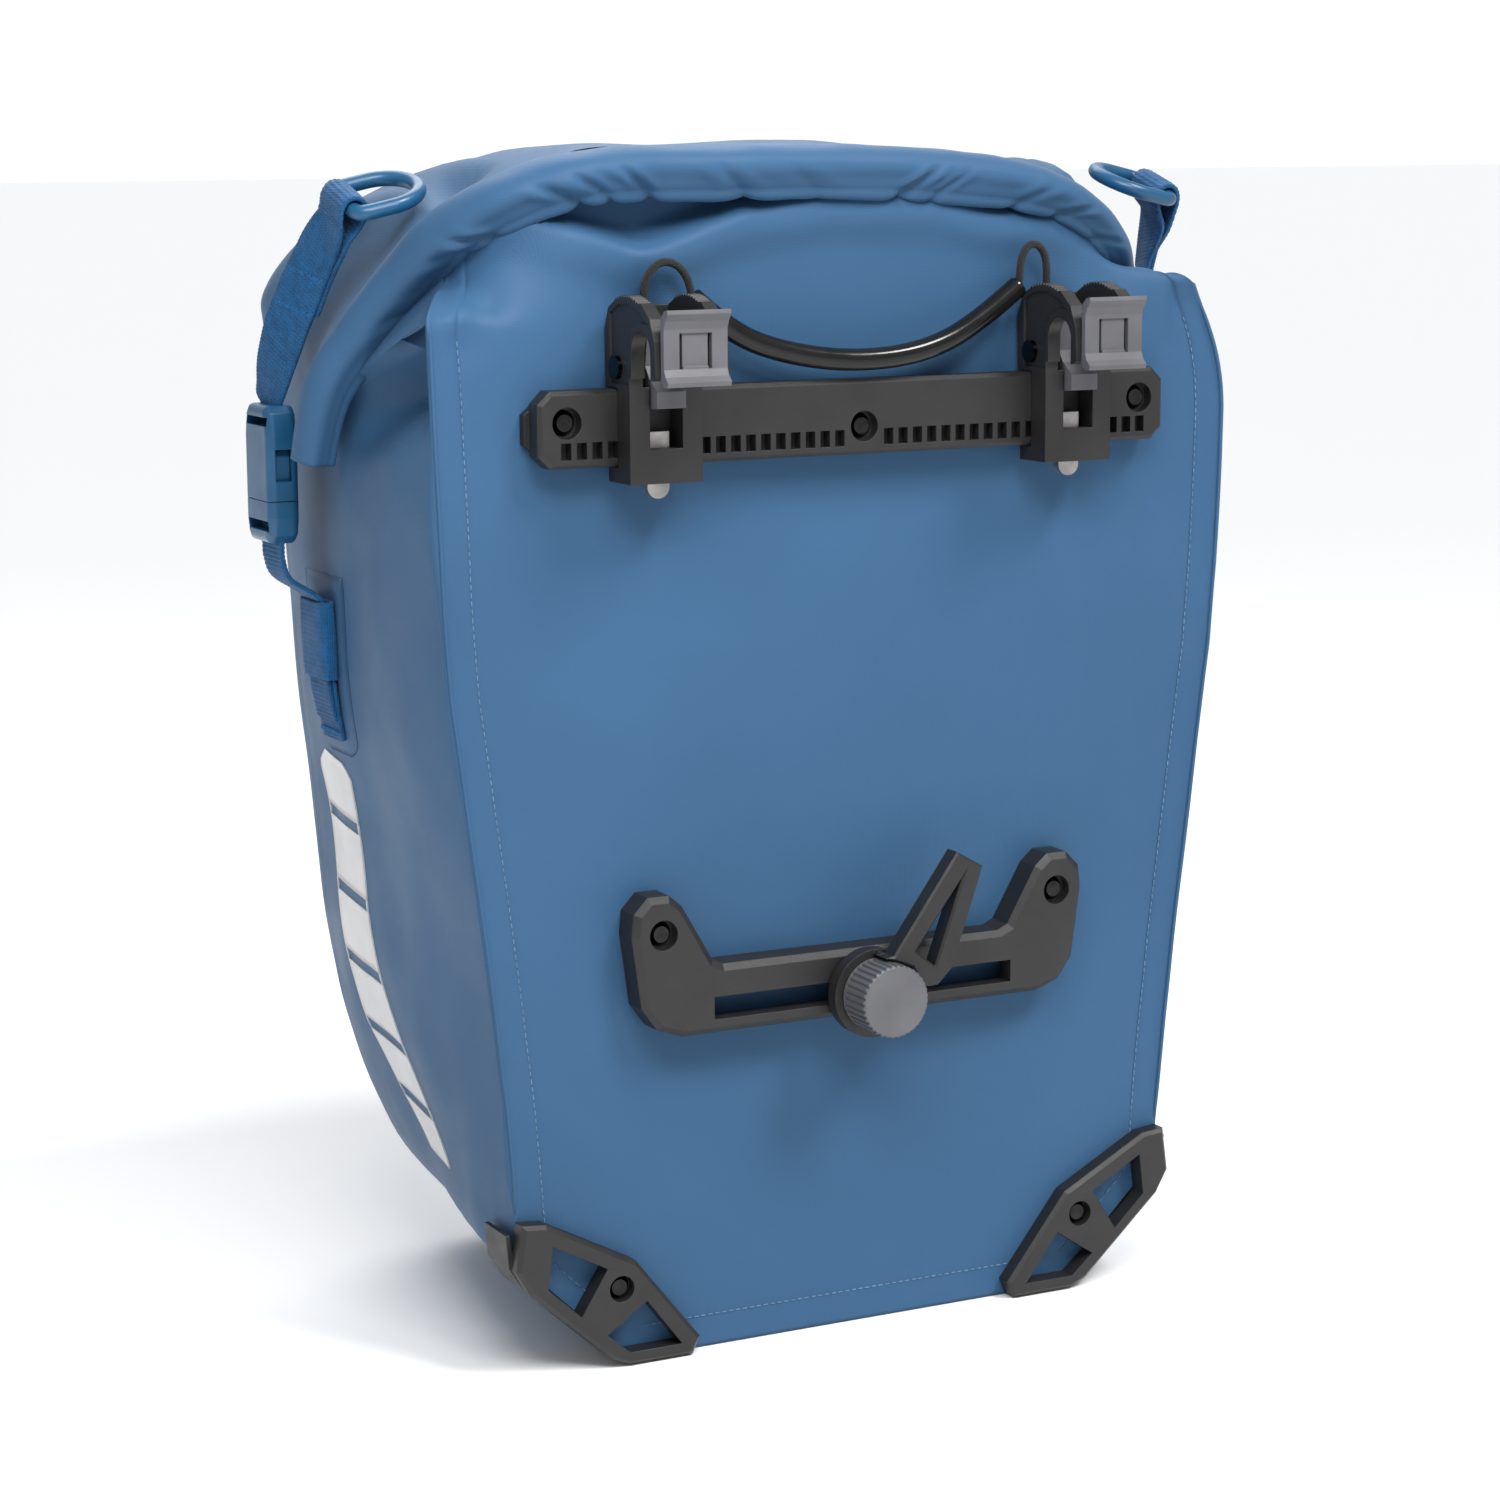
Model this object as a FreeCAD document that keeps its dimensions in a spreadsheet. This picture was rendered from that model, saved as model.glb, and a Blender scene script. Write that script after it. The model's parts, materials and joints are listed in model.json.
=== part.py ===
"""Roll-top bicycle pannier: a welded fabric bag with rack hooks, a lower tension rail and two side buckles.

Frame: +Z up, X along the rack-side panel, the rack side faces -Y. The origin is the middle of the
base, at the height that the bag stands on. Depths are measured from the rack-side panel, so a body
is drawn with that panel at Y = 0 and its Placement moves it to panel_y.
"""
import FreeCAD, Part
import math
import os
import re
import Sketcher

DIMENSIONS = (
    # name, millimetres or degrees
    ("panel_y", -72.7),
    # fabric body
    ("base_half", 100.0), ("base_z", 2.0), ("corner_half", 147.0), ("corner_z", 45.0),
    ("flare_half", 171.0), ("flare_z", 268.0), ("chest_half", 172.6), ("chest_z", 343.0),
    ("panel_top_half", 175.0), ("panel_top", 402.0), ("panel_skin", 2.0), ("side_bulge", 4.0),
    ("bag_depth", 198.0), ("bag_round", 32.0), ("bag_wall", 1.5), ("bag_rim", 385.0),
    ("collar_half", 120.0), ("collar_top", 438.0), ("collar_gap", 22.0), ("stiffener_edge", 14.0),
    ("stiffener_skin", 1.6), ("stiffener_top", 382.0), ("shoulder_half", 140.0),
    ("shoulder_far", 182.0), ("shoulder_z", 428.0), ("mouth_tall", 3.0),
    # roll closure
    ("roll_r", 14.5), ("roll_z", 457.0), ("roll_y", 4.0), ("roll_straight", 100.0),
    ("batten_half", 85.0), ("batten_wide", 16.0), ("batten_skin", 1.6), ("slit_gap", 0.4),
    # webbing
    ("webbing_wide", 22.0), ("webbing_skin", 2.2), ("webbing_y", 112.0), ("patch_margin", 8.0),
    ("strap_end_z", 240.0), ("keeper_low", 262.0), ("keeper_high", 295.0), ("keeper_wall", 1.5),
    ("keeper_play", 0.4), ("patch_skin", 0.8), ("patch_stand", 0.55), ("strap_stand", 3.9),
    ("strap_bend_x", 190.0), ("strap_bend_z", 308.0), ("strap_lie_z", 298.0), ("web_gap_low", 1.4),
    ("web_gap_high", 4.6), ("print_skin", 0.5), ("print_gap", 5.0),
    # side-release buckle
    ("buckle_x", 196.5), ("buckle_half_y", 14.0), ("buckle_half_x", 6.5), ("buckle_low", 318.0),
    ("buckle_split", 334.6), ("buckle_top", 372.0), ("socket_half_y", 11.5), ("socket_half_x", 3.8),
    ("socket_top", 361.0), ("arm_in", 5.5), ("arm_out", 11.2), ("arm_top", 357.0),
    ("buckle_round", 3.4),
    # D-rings
    ("ring_bar_x", 182.0), ("ring_bar_y", 63.0), ("ring_bar_z", 450.6), ("ring_wire", 3.0),
    ("ring_half", 15.0), ("ring_reach", 29.0), ("ring_tilt", 17.4), ("ring_lift", 13.6),
    ("ring_corner", 5.0), ("loop_play", 0.4),
    # hook rail
    ("rail_half", 137.0), ("rail_low", 353.0), ("rail_high", 382.0), ("rail_front", 13.0),
    ("rail_base", 4.0), ("rail_corner", 5.0), ("rail_bevel", 1.5), ("slot_pitch", 6.4),
    ("slot_wide", 4.1), ("slot_tall", 6.3), ("slot_z", 359.5), ("slot_deep", 5.0),
    ("rail_screw_x", 125.5), ("rail_screw_z", 370.0), ("rail_middle_z", 363.8),
    # screws
    ("screw_recess_r", 5.95), ("screw_recess", 5.0), ("screw_hole_r", 2.6), ("screw_shank_r", 2.4),
    ("screw_head_r", 5.0), ("screw_head", 2.6), ("nut_r", 5.2), ("nut_thick", 3.0),
    # tension rail
    ("tension_z", 141.0), ("tension_front", 14.0), ("tension_bevel", 2.5), ("tension_slot_half", 66.8),
    ("tension_slot_tall", 9.0), ("channel_half", 76.0), ("channel_tall", 15.0), ("channel_deep", 6.0),
    ("tension_screw_x", 88.3), ("tension_screw_z", 172.2), ("bolt_r", 3.9), ("bolt_head_half", 6.5),
    ("hub_r", 17.8), ("hub_thick", 6.0), ("knob_r", 14.5), ("knob_front", 39.0), ("arm_back", 24.0),
    ("arm_front", 32.0),
    # corner guards
    ("guard_front", 8.0), ("guard_bevel", 1.6), ("guard_screw_x", 105.0), ("guard_screw_z", 31.8),
    ("guard_wrap", 20.0), ("guard_recess_r", 5.25),
    # rack hooks
    ("hook_x", 90.0), ("hook_half", 15.0), ("hook_front", 24.0), ("hook_low", 347.0),
    ("cheek_gap_half", 9.5), ("throat_y", 33.8), ("throat_z", 396.0), ("throat_r", 8.2),
    ("finger_front", 46.5), ("window_half", 6.8), ("window_low", 360.0), ("pivot_y", 12.0),
    ("pivot_z", 390.0), ("pivot_r", 2.0), ("latch_half", 6.0), ("insert_half", 13.0),
    ("hook_play", 0.3), ("bar_low", 341.0), ("bar_high", 366.0), ("coil_wire_r", 0.4),
    ("coil_pitch", 0.95), ("rivet_r", 4.4), ("cheek_recess", 0.8), ("slit_half", 5.2),
    ("slit_wide", 1.4), ("rib_pitch", 2.0), ("rib_tall", 0.7),
    # pull cord and its sleeve
    ("sleeve_r", 4.3), ("cord_r", 1.5),
)
VALUE = dict(DIMENSIONS)
SIDES = (("left", -1), ("right", 1))

document = FreeCAD.newDocument("pannier")
sheet = document.addObject("Spreadsheet::Sheet", "Dimensions")
for row, (name, size) in enumerate(DIMENSIONS, start=1):
    sheet.set("A%d" % row, name)
    sheet.set("B%d" % row, str(size))
    sheet.setAlias("B%d" % row, name)
document.recompute()

NODES = []
CUTS = []


# ---------------------------------------------------------------- helpers
def bound(text):
    """Turn the dimension names in an expression into references to the sheet."""
    return re.sub(r"[a-z]\w*", lambda word: "Dimensions." + word.group()
                  if word.group() in VALUE else word.group(), str(text))


def bind(thing, **sizes):
    """Bind properties to expressions; a double underscore in a name stands for a dot."""
    for key, text in sizes.items():
        thing.setExpression(key.replace("__", "."), bound(text))


def place(thing, x="0", y="panel_y", z="0"):
    for axis, text in zip("xyz", (x, y, z)):
        thing.setExpression(".Placement.Base." + axis, bound(text))


def node(thing, label):
    thing.Label = label
    NODES.append(thing)
    return thing


def new_body(label, x="0", y="panel_y", z="0"):
    body = node(document.addObject("PartDesign::Body", label), label)
    place(body, x, y, z)
    return body


def origin_plane(body, role):
    return next(feature for feature in body.Origin.OriginFeatures if feature.Role == role)


def sketch(body, role, loops=(), circles=(), offset="0"):
    """Closed outlines and circles on an origin plane, every corner driven by the sheet."""
    drawing = body.newObject("Sketcher::SketchObject", body.Name + "_sketch")
    drawing.AttachmentSupport = [(origin_plane(body, role), "")]
    drawing.MapMode = "FlatFace"
    drawing.setExpression(".AttachmentOffset.Base.z", bound(offset))
    for loop in loops:
        first = drawing.GeometryCount
        count = len(loop)
        ring = [FreeCAD.Vector(50 * math.cos(math.tau * i / count), 50 * math.sin(math.tau * i / count), 0)
                for i in range(count)]
        for i in range(count):
            drawing.addGeometry(Part.LineSegment(ring[i], ring[(i + 1) % count]))
        for i in range(count):
            drawing.addConstraint(Sketcher.Constraint(
                "Coincident", first + i, 2, first + (i + 1) % count, 1))
        for i, corner in enumerate(loop):
            drive_point(drawing, first + i, 1, corner, ring[i])
    for across, along, radius in circles:
        circle = drawing.addGeometry(Part.Circle(FreeCAD.Vector(7, 7, 0), FreeCAD.Vector(0, 0, 1), 5))
        drive_point(drawing, circle, 3, (across, along), FreeCAD.Vector(7, 7, 0))
        index = drawing.addConstraint(Sketcher.Constraint("Radius", circle, 5))
        drawing.setExpression("Constraints[%d]" % index, bound(radius))
    return drawing


def drive_point(drawing, element, end, corner, start):
    """Hold one point of a sketch at two distances from the sketch's origin."""
    for kind, text, value in zip(("DistanceX", "DistanceY"), corner, (start.x, start.y)):
        index = drawing.addConstraint(Sketcher.Constraint(kind, -1, 1, element, end, value))
        drawing.setExpression("Constraints[%d]" % index, bound(text))


def pad(body, drawing, length, middle=False):
    feature = body.newObject("PartDesign::Pad", body.Name + "_pad")
    feature.Profile = drawing
    feature.Midplane = middle
    bind(feature, Length=length)
    document.recompute()
    return feature


def pocket(body, drawing, length, middle=False):
    before = body.Shape.Volume
    feature = body.newObject("PartDesign::Pocket", body.Name + "_pocket")
    feature.Profile = drawing
    feature.Midplane = middle
    bind(feature, Length=length)
    document.recompute()
    CUTS.append((body.Name, before, feature.Shape.Volume))
    return feature


def dress(body, kind, size, wanted):
    """Chamfer or fillet the edges of the newest feature whose middle satisfies wanted."""
    base = body.Tip
    names = ["Edge%d" % (i + 1) for i, edge in enumerate(base.Shape.Edges) if wanted(edge.CenterOfMass)]
    feature = body.newObject("PartDesign::" + kind, body.Name + "_" + kind.lower())
    feature.Base = (base, names)
    bind(feature, **{"Size" if kind == "Chamfer" else "Radius": size})
    document.recompute()
    return feature


def on_front(depth):
    """Test for points on the face that stands a depth proud of the rack-side panel."""
    return lambda point: abs(point.y + VALUE[depth]) < 0.01


def mirrored(half):
    """A whole outline from its right half, listed from the bottom middle round to the top middle."""
    return list(half) + [("-(%s)" % across, along) for across, along in reversed(half)]


def rectangle(low_x, high_x, low_z, high_z):
    return [(low_x, low_z), (high_x, low_z), (high_x, high_z), (low_x, high_z)]


def sided(side, points):
    return [("%d*(%s)" % (side, across), along) for across, along in points]


def point(x, y, z):
    return FreeCAD.Vector(x, y, z)


def feature_node(label, shape):
    """A free shape in its own node, moved to the panel's place."""
    thing = node(document.addObject("Part::Feature", label), label)
    thing.Shape = shape
    thing.Placement = FreeCAD.Placement(point(0, VALUE["panel_y"], 0), FreeCAD.Rotation())
    return thing


def prism(points, travel):
    """Extrude the closed outline through points along travel."""
    return Part.Face(Part.makePolygon(points + points[:1])).extrude(travel)


# ---------------------------------------------------------------- fabric body
SCREW_PLACES = (
    ("-rail_screw_x", "rail_screw_z"), ("0", "rail_middle_z"), ("rail_screw_x", "rail_screw_z"),
    ("-tension_screw_x", "tension_screw_z"), ("tension_screw_x", "tension_screw_z"),
    ("-guard_screw_x", "guard_screw_z"), ("guard_screw_x", "guard_screw_z"),
)
SCREW_HOLES = [(across, along, "screw_hole_r") for across, along in SCREW_PLACES]


def make_back_panel():
    body = new_body("back_panel")
    outline = mirrored([("base_half", "base_z"), ("corner_half", "corner_z"), ("flare_half", "flare_z"),
                        ("chest_half", "chest_z"), ("panel_top_half", "panel_top")])
    pad(body, sketch(body, "XZ_Plane", [outline], SCREW_HOLES, "-panel_skin"), "panel_skin")


def make_back_stiffener():
    """The plastic board behind the panel that carries the rails."""
    body = new_body("back_stiffener")
    outline = mirrored([
        ("base_half - 2", "base_z + stiffener_edge"), ("corner_half - stiffener_edge", "corner_z + 6"),
        ("flare_half - stiffener_edge", "flare_z"), ("chest_half - stiffener_edge", "stiffener_top")])
    offset = "-(panel_skin + 0.2 + stiffener_skin)"
    pad(body, sketch(body, "XZ_Plane", [outline], SCREW_HOLES, offset), "stiffener_skin")


def bag_form(label, inset, near, far):
    """One closed form of the bag, its two road-side corners rounded."""
    form = document.addObject("PartDesign::Body", label)
    place(form)
    outline = mirrored([
        ("base_half - 0.4*(%s)" % inset, inset),
        ("corner_half - (%s)" % inset, "corner_z + 0.4*(%s)" % inset),
        ("flare_half + side_bulge - (%s)" % inset, "flare_z"),
        ("chest_half + side_bulge - (%s)" % inset, "bag_rim + (%s)" % inset)])
    pad(form, sketch(form, "XZ_Plane", [outline], (), "-(%s)" % far), "(%s) - (%s)" % (far, near))
    deepest = form.Shape.BoundBox.YMax - VALUE["panel_y"]
    dress(form, "Fillet", "bag_round - (%s)" % inset,
          lambda p: abs(p.y - deepest) < 0.01 and abs(p.x) > VALUE["base_half"] + 1)
    return form


def make_bag_shell():
    """Sides, base and road-side wall, open at the top and where the rack-side panel closes it."""
    shell = node(document.addObject("Part::Cut", "bag_shell"), "bag_shell")
    shell.Base = bag_form("bag_outer_form", "0", "panel_skin", "bag_depth")
    shell.Tool = bag_form("bag_inner_form", "bag_wall", "panel_skin - 1", "bag_depth - bag_wall")
    document.recompute()


def tent(shrink):
    """The collar's outer form, or with shrink its inner one: up to a shoulder, then over to the mouth."""
    near = 3 + shrink
    slot_far = 3 + VALUE["collar_gap"] + 2 * VALUE["bag_wall"] - shrink
    shoulder_z = VALUE["shoulder_z"] - shrink
    throat_z = VALUE["collar_top"] - VALUE["mouth_tall"] - shrink
    rims = []
    for half, y_far, z in ((VALUE["chest_half"] + 2, VALUE["bag_depth"] - 3 - shrink, VALUE["bag_rim"]),
                           (VALUE["shoulder_half"], VALUE["shoulder_far"] - shrink, shoulder_z),
                           (VALUE["collar_half"], slot_far, throat_z),
                           (VALUE["collar_half"], slot_far, VALUE["collar_top"])):
        half -= shrink
        corners = [point(-half, near, z), point(half, near, z), point(half, y_far, z), point(-half, y_far, z)]
        rims.append(Part.makePolygon(corners + corners[:1]))
    return Part.makeLoft(rims, True, True)


def make_collar():
    """The fabric that draws in from the bag's rim to the mouth under the roll."""
    outer = tent(0)
    inner = tent(VALUE["bag_wall"])
    feature_node("collar", outer.cut(inner))


REFLECTOR_EDGES = (
    # height, near edge, far edge
    (225.0, 107.0, 146.0), (200.0, 106.0, 145.0), (169.0, 103.0, 141.5), (140.0, 96.0, 138.0),
    (112.0, 86.0, 130.0), (86.0, 75.0, 113.0), (66.0, 68.0, 92.0))


def make_reflector(label, side):
    """A ladder of six printed panels that curves down the side wall, narrower towards the base."""
    skin, gap = VALUE["print_skin"], VALUE["print_gap"]
    panels = []
    for upper, lower in zip(REFLECTOR_EDGES, REFLECTOR_EDGES[1:]):
        corners = []
        for (_, near, far), z, ends in ((upper, upper[0] - gap / 2, 1), (lower, lower[0] + gap / 2, -1)):
            reach = side * wall_x(z, 0)
            corners += [point(reach, y, z) for y in (near, far)[::ends]]
        panels.append(prism(corners, point(side * skin, 0, 0)))
    feature_node(label, Part.makeCompound(panels))


# ---------------------------------------------------------------- webbing and buckles
def ribbon(route, thick, y_low, y_high):
    """A strip of webbing whose middle follows route, a list of (x, z), between two depths."""
    sides = ([], [])
    for i, (x, z) in enumerate(route):
        before = route[max(i - 1, 0)]
        after = route[min(i + 1, len(route) - 1)]
        run = point(after[0] - before[0], 0, after[1] - before[1]).normalize()
        for offset, edge in zip((0.5, -0.5), sides):
            edge.append(point(x - run.z * thick * offset, y_low, z + run.x * thick * offset))
    return prism(sides[0] + sides[1][::-1], point(0, y_high - y_low, 0))


def wall_x(z, stand):
    """How far out the side wall is at a height, plus a stand-off."""
    low, high = VALUE["corner_z"], VALUE["flare_z"]
    reach = VALUE["flare_half"] + VALUE["side_bulge"]
    if z < high:
        reach = VALUE["corner_half"] + (reach - VALUE["corner_half"]) * (z - low) / (high - low)
    else:
        reach += (VALUE["chest_half"] - VALUE["flare_half"]) * (z - high) / (VALUE["bag_rim"] - high)
    return reach + stand


def make_lower_webbing(name, side):
    """A welded patch, the strap on it and the elastic keeper round the strap."""
    skin = VALUE["webbing_skin"]
    low_y = VALUE["webbing_y"] - VALUE["webbing_wide"] / 2
    high_y = VALUE["webbing_y"] + VALUE["webbing_wide"] / 2
    margin = VALUE["patch_margin"]
    end_z, high_z = VALUE["strap_end_z"], VALUE["keeper_high"] + 8
    flare_z = VALUE["flare_z"]
    patch = [(side * wall_x(z, VALUE["patch_stand"]), z) for z in (high_z, flare_z, end_z - margin)]
    patch_skin = VALUE["patch_skin"]
    feature_node("strap_patch_" + name, ribbon(patch, patch_skin, low_y - margin, high_y + margin))
    stand = VALUE["strap_stand"]
    strap = [(side * VALUE["buckle_x"], VALUE["buckle_low"] - VALUE["web_gap_low"]),
             (side * VALUE["strap_bend_x"], VALUE["strap_bend_z"])]
    strap += [(side * wall_x(z, stand), z) for z in (VALUE["strap_lie_z"], flare_z, end_z)]
    feature_node("lower_strap_" + name, ribbon(strap, skin, low_y, high_y))
    wall, play = VALUE["keeper_wall"], VALUE["keeper_play"]
    keeper_heights = (VALUE["keeper_high"], flare_z, VALUE["keeper_low"])
    keeper_route = [(side * wall_x(z, stand), z) for z in keeper_heights]
    outer = ribbon(keeper_route, skin + play + 2 * wall, low_y - play - wall, high_y + play + wall)
    inner = ribbon(keeper_route, skin + play, low_y - play, high_y + play)
    feature_node("strap_keeper_" + name, outer.cut(inner))


def make_buckle(name, side):
    """Female half on the closure strap, male half on the lower strap and its two spring arms."""
    across = "%d*buckle_x" % side
    depth = "panel_y + webbing_y"
    female = new_body("buckle_female_" + name, across, depth)
    outline = mirrored([
        ("buckle_half_y", "buckle_split + 0.3"), ("buckle_half_y", "buckle_top - 12"),
        ("buckle_half_y - 1.6", "buckle_top - 3"), ("buckle_half_y - 4.6", "buckle_top")])
    pad(female, sketch(female, "YZ_Plane", [outline]), "2*buckle_half_x", True)
    dress(female, "Fillet", "buckle_round", lambda p: abs(p.x) > 1 and p.z > VALUE["buckle_split"] + 1)
    socket = rectangle("-socket_half_y", "socket_half_y", "buckle_split - 3", "socket_top")
    pocket(female, sketch(female, "YZ_Plane", [socket]), "2*socket_half_x", True)
    web_slot = rectangle("-socket_half_y", "socket_half_y", "socket_top + 3", "socket_top + 6.5")
    pocket(female, sketch(female, "YZ_Plane", [web_slot]), "4*buckle_half_x", True)
    side_window = rectangle("-socket_half_x + 0.4", "socket_half_x - 0.4", "buckle_split + 8", "arm_top - 2")
    pocket(female, sketch(female, "XZ_Plane", [side_window]), "4*buckle_half_y", True)

    male = new_body("buckle_male_" + name, across, depth)
    outline = mirrored([
        ("buckle_half_y - 4.4", "buckle_low"), ("buckle_half_y - 1.4", "buckle_low + 3"),
        ("buckle_half_y", "buckle_low + 10"), ("buckle_half_y", "buckle_split")])
    pad(male, sketch(male, "YZ_Plane", [outline]), "2*buckle_half_x", True)
    dress(male, "Fillet", "buckle_round", lambda p: abs(p.x) > 1 and p.z < VALUE["buckle_split"] - 1)
    tongue = rectangle("-2", "2", "buckle_split - 2", "arm_top - 5")
    pad(male, sketch(male, "YZ_Plane", [tongue]), "2*socket_half_x - 1", True)
    web_slot = rectangle("-socket_half_y", "socket_half_y", "buckle_low + 5", "buckle_low + 9")
    pocket(male, sketch(male, "YZ_Plane", [web_slot]), "4*buckle_half_x", True)

    for place_word, toward in (("near", -1), ("far", 1)):
        arm = new_body("buckle_arm_%s_%s" % (name, place_word), across, depth)
        outline = sided(toward, [
            ("arm_in + 1", "buckle_split + 0.6"), ("arm_out - 1.5", "buckle_split + 0.6"),
            ("arm_out", "buckle_split + 9"), ("arm_out", "arm_top - 5"), ("arm_in + 3", "arm_top"),
            ("arm_in", "arm_top - 3")])
        pad(arm, sketch(arm, "YZ_Plane", [outline]), "2*socket_half_x - 1", True)


def ring_axes(side):
    """The ring's own directions: along its bar, and from the bar out to its round end."""
    tilt = math.radians(VALUE["ring_tilt"])
    lift = math.radians(VALUE["ring_lift"])
    bar = point(0, -math.cos(tilt), -math.sin(tilt))
    out = point(-side * math.cos(lift), 0, math.sin(lift))
    out = (out - bar * out.dot(bar)).normalize()
    return bar, out


def make_d_ring(name, side):
    bar, out = ring_axes(side)
    middle = point(side * VALUE["ring_bar_x"], VALUE["ring_bar_y"], VALUE["ring_bar_z"])
    half, reach, wire = VALUE["ring_half"], VALUE["ring_reach"], VALUE["ring_wire"]
    corner = VALUE["ring_corner"]
    crown = reach - half
    bend = corner * math.sqrt(0.5)

    def at(along, away):
        return middle + bar * along + out * away

    path = [
        Part.LineSegment(at(corner - half, 0), at(half - corner, 0)),
        Part.Arc(at(half - corner, 0), at(half - corner + bend, corner - bend), at(half, corner)),
        Part.LineSegment(at(half, corner), at(half, crown)),
        Part.Arc(at(half, crown), at(0, reach), at(-half, crown)),
        Part.LineSegment(at(-half, crown), at(-half, corner)),
        Part.Arc(at(-half, corner), at(corner - half - bend, corner - bend), at(corner - half, 0)),
    ]
    spine = Part.Wire([piece.toShape() for piece in path])
    section = Part.Wire(Part.Circle(middle, bar, wire).toShape())
    ring = spine.makePipeShell([section], True, False)
    feature_node("d_ring_" + name, ring)


def make_upper_strap(name, side):
    """The closure strap, from its loop round the ring's bar down to the buckle."""
    bar, _ = ring_axes(side)
    middle = point(side * VALUE["ring_bar_x"], VALUE["ring_bar_y"], VALUE["ring_bar_z"])
    wide, skin = VALUE["webbing_wide"], VALUE["webbing_skin"]
    inner_r = VALUE["ring_wire"] + VALUE["loop_play"]
    start = middle - bar * (wide / 2)
    loop = Part.makeCylinder(inner_r + skin, wide, start, bar)
    loop = loop.cut(Part.makeCylinder(inner_r, wide, start, bar))
    foot = point(side * VALUE["buckle_x"], VALUE["webbing_y"], VALUE["buckle_top"] + VALUE["web_gap_high"])
    run = (foot - middle).normalize()
    face = run.cross(bar).normalize() * skin
    head = middle + run * (inner_r + skin / 2)
    foot_corner = foot - bar * (wide / 2) - face * 0.5
    head_corner = head - bar * (wide / 2) - face * 0.5
    strip = prism([head_corner, foot_corner, foot_corner + face, head_corner + face], bar * wide)
    feature_node("upper_strap_" + name, loop.fuse(strip).removeSplitter())


# ---------------------------------------------------------------- tubes along a route
def tube(route, radius):
    """A round tube along straight runs joined by the largest tangent arcs that fit."""
    edges = []
    start = route[0]
    length = 0.0
    radii = []
    for before, corner, after in zip(route, route[1:], route[2:]):
        back = (before - corner).normalize()
        ahead = (after - corner).normalize()
        half_turn = (math.pi - back.getAngle(ahead)) / 2
        reach = 0.45 * min(before.distanceToPoint(corner), after.distanceToPoint(corner))
        bend = reach / math.tan(half_turn)
        radii.append(bend)
        enter, leave = corner + back * reach, corner + ahead * reach
        inward = (back + ahead).normalize()
        middle = corner + inward * (bend / math.cos(half_turn) - bend)
        edges.append(Part.LineSegment(start, enter).toShape())
        edges.append(Part.Arc(enter, middle, leave).toShape())
        length += start.distanceToPoint(enter) + 2 * half_turn * bend
        start = leave
    edges.append(Part.LineSegment(start, route[-1]).toShape())
    length += start.distanceToPoint(route[-1])
    section = Part.Wire(Part.Circle(route[0], route[1] - route[0], radius).toShape())
    solid = Part.Wire(edges).makePipeShell([section], True, False)
    ideal = math.pi * radius ** 2 * length
    print("tube of radius %.1f: length %.1f, radii %s, volume ratio %.4f"
          % (radius, length, " ".join("%.0f" % bend for bend in radii), solid.Volume / ideal))
    return solid


def make_roll():
    """The rolled mouth, straight over the panel and drooping down both sides at mid-depth."""
    straight, high = VALUE["roll_straight"], VALUE["roll_z"]
    right = [point(straight, VALUE["roll_y"], high), point(136, 17, 450), point(161.5, 42.5, 434),
             point(183, 61, 408), point(195.5, 68.5, 378), point(196, 71, 350)]
    left = [point(-p.x, p.y, p.z) for p in reversed(right)]
    roll = tube(left + right, VALUE["roll_r"])
    half, tall = VALUE["batten_half"], VALUE["batten_wide"]
    skin, gap = VALUE["batten_skin"], VALUE["slit_gap"]

    def slab(play):
        corner = point(-half - play, VALUE["roll_y"] - skin / 2 - play, high - tall / 2 - play)
        return Part.makeBox(2 * (half + play), skin + 2 * play, tall + 2 * play, corner)

    feature_node("closure_roll", roll.cut(slab(gap)))
    feature_node("closure_batten", slab(0))


PULL_SLEEVE_ROUTE = ((-71.6, -9, 414.6), (-56.5, -10, 401.3), (-34, -12, 392.8), (-4, -13, 388.6),
                     (26, -13, 391.2), (50, -12, 401), (70.5, -10, 415.5))
PULL_CORD_LEFT_ROUTE = ((-91.8, -9.7, 408), (-92.1, -9.6, 414), (-91.8, -9.5, 420), (-89, -9.3, 425.6),
                        (-84, -9.2, 428.6), (-78.6, -9.1, 427.6), (-74.6, -9, 424), (-72.6, -9, 419.5),
                        (-71.8, -9, 415.6))
PULL_CORD_RIGHT_ROUTE = ((70.9, -10, 416), (71.2, -10, 422.5), (72.6, -10, 428.5), (76, -10, 432),
                         (80.2, -10, 431.2), (83, -10, 427), (83.6, -10, 421), (83.6, -9.8, 414),
                         (83.4, -9.7, 408))


def make_pull_line():
    """The cord that opens both latches, and the smooth sleeve round it that makes the handle."""
    routes = (("pull_sleeve", PULL_SLEEVE_ROUTE, "sleeve_r"),
              ("pull_cord_left", PULL_CORD_LEFT_ROUTE, "cord_r"),
              ("pull_cord_right", PULL_CORD_RIGHT_ROUTE, "cord_r"))
    for label, route, radius in routes:
        feature_node(label, tube([point(*place_xyz) for place_xyz in route], VALUE[radius]))


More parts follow.
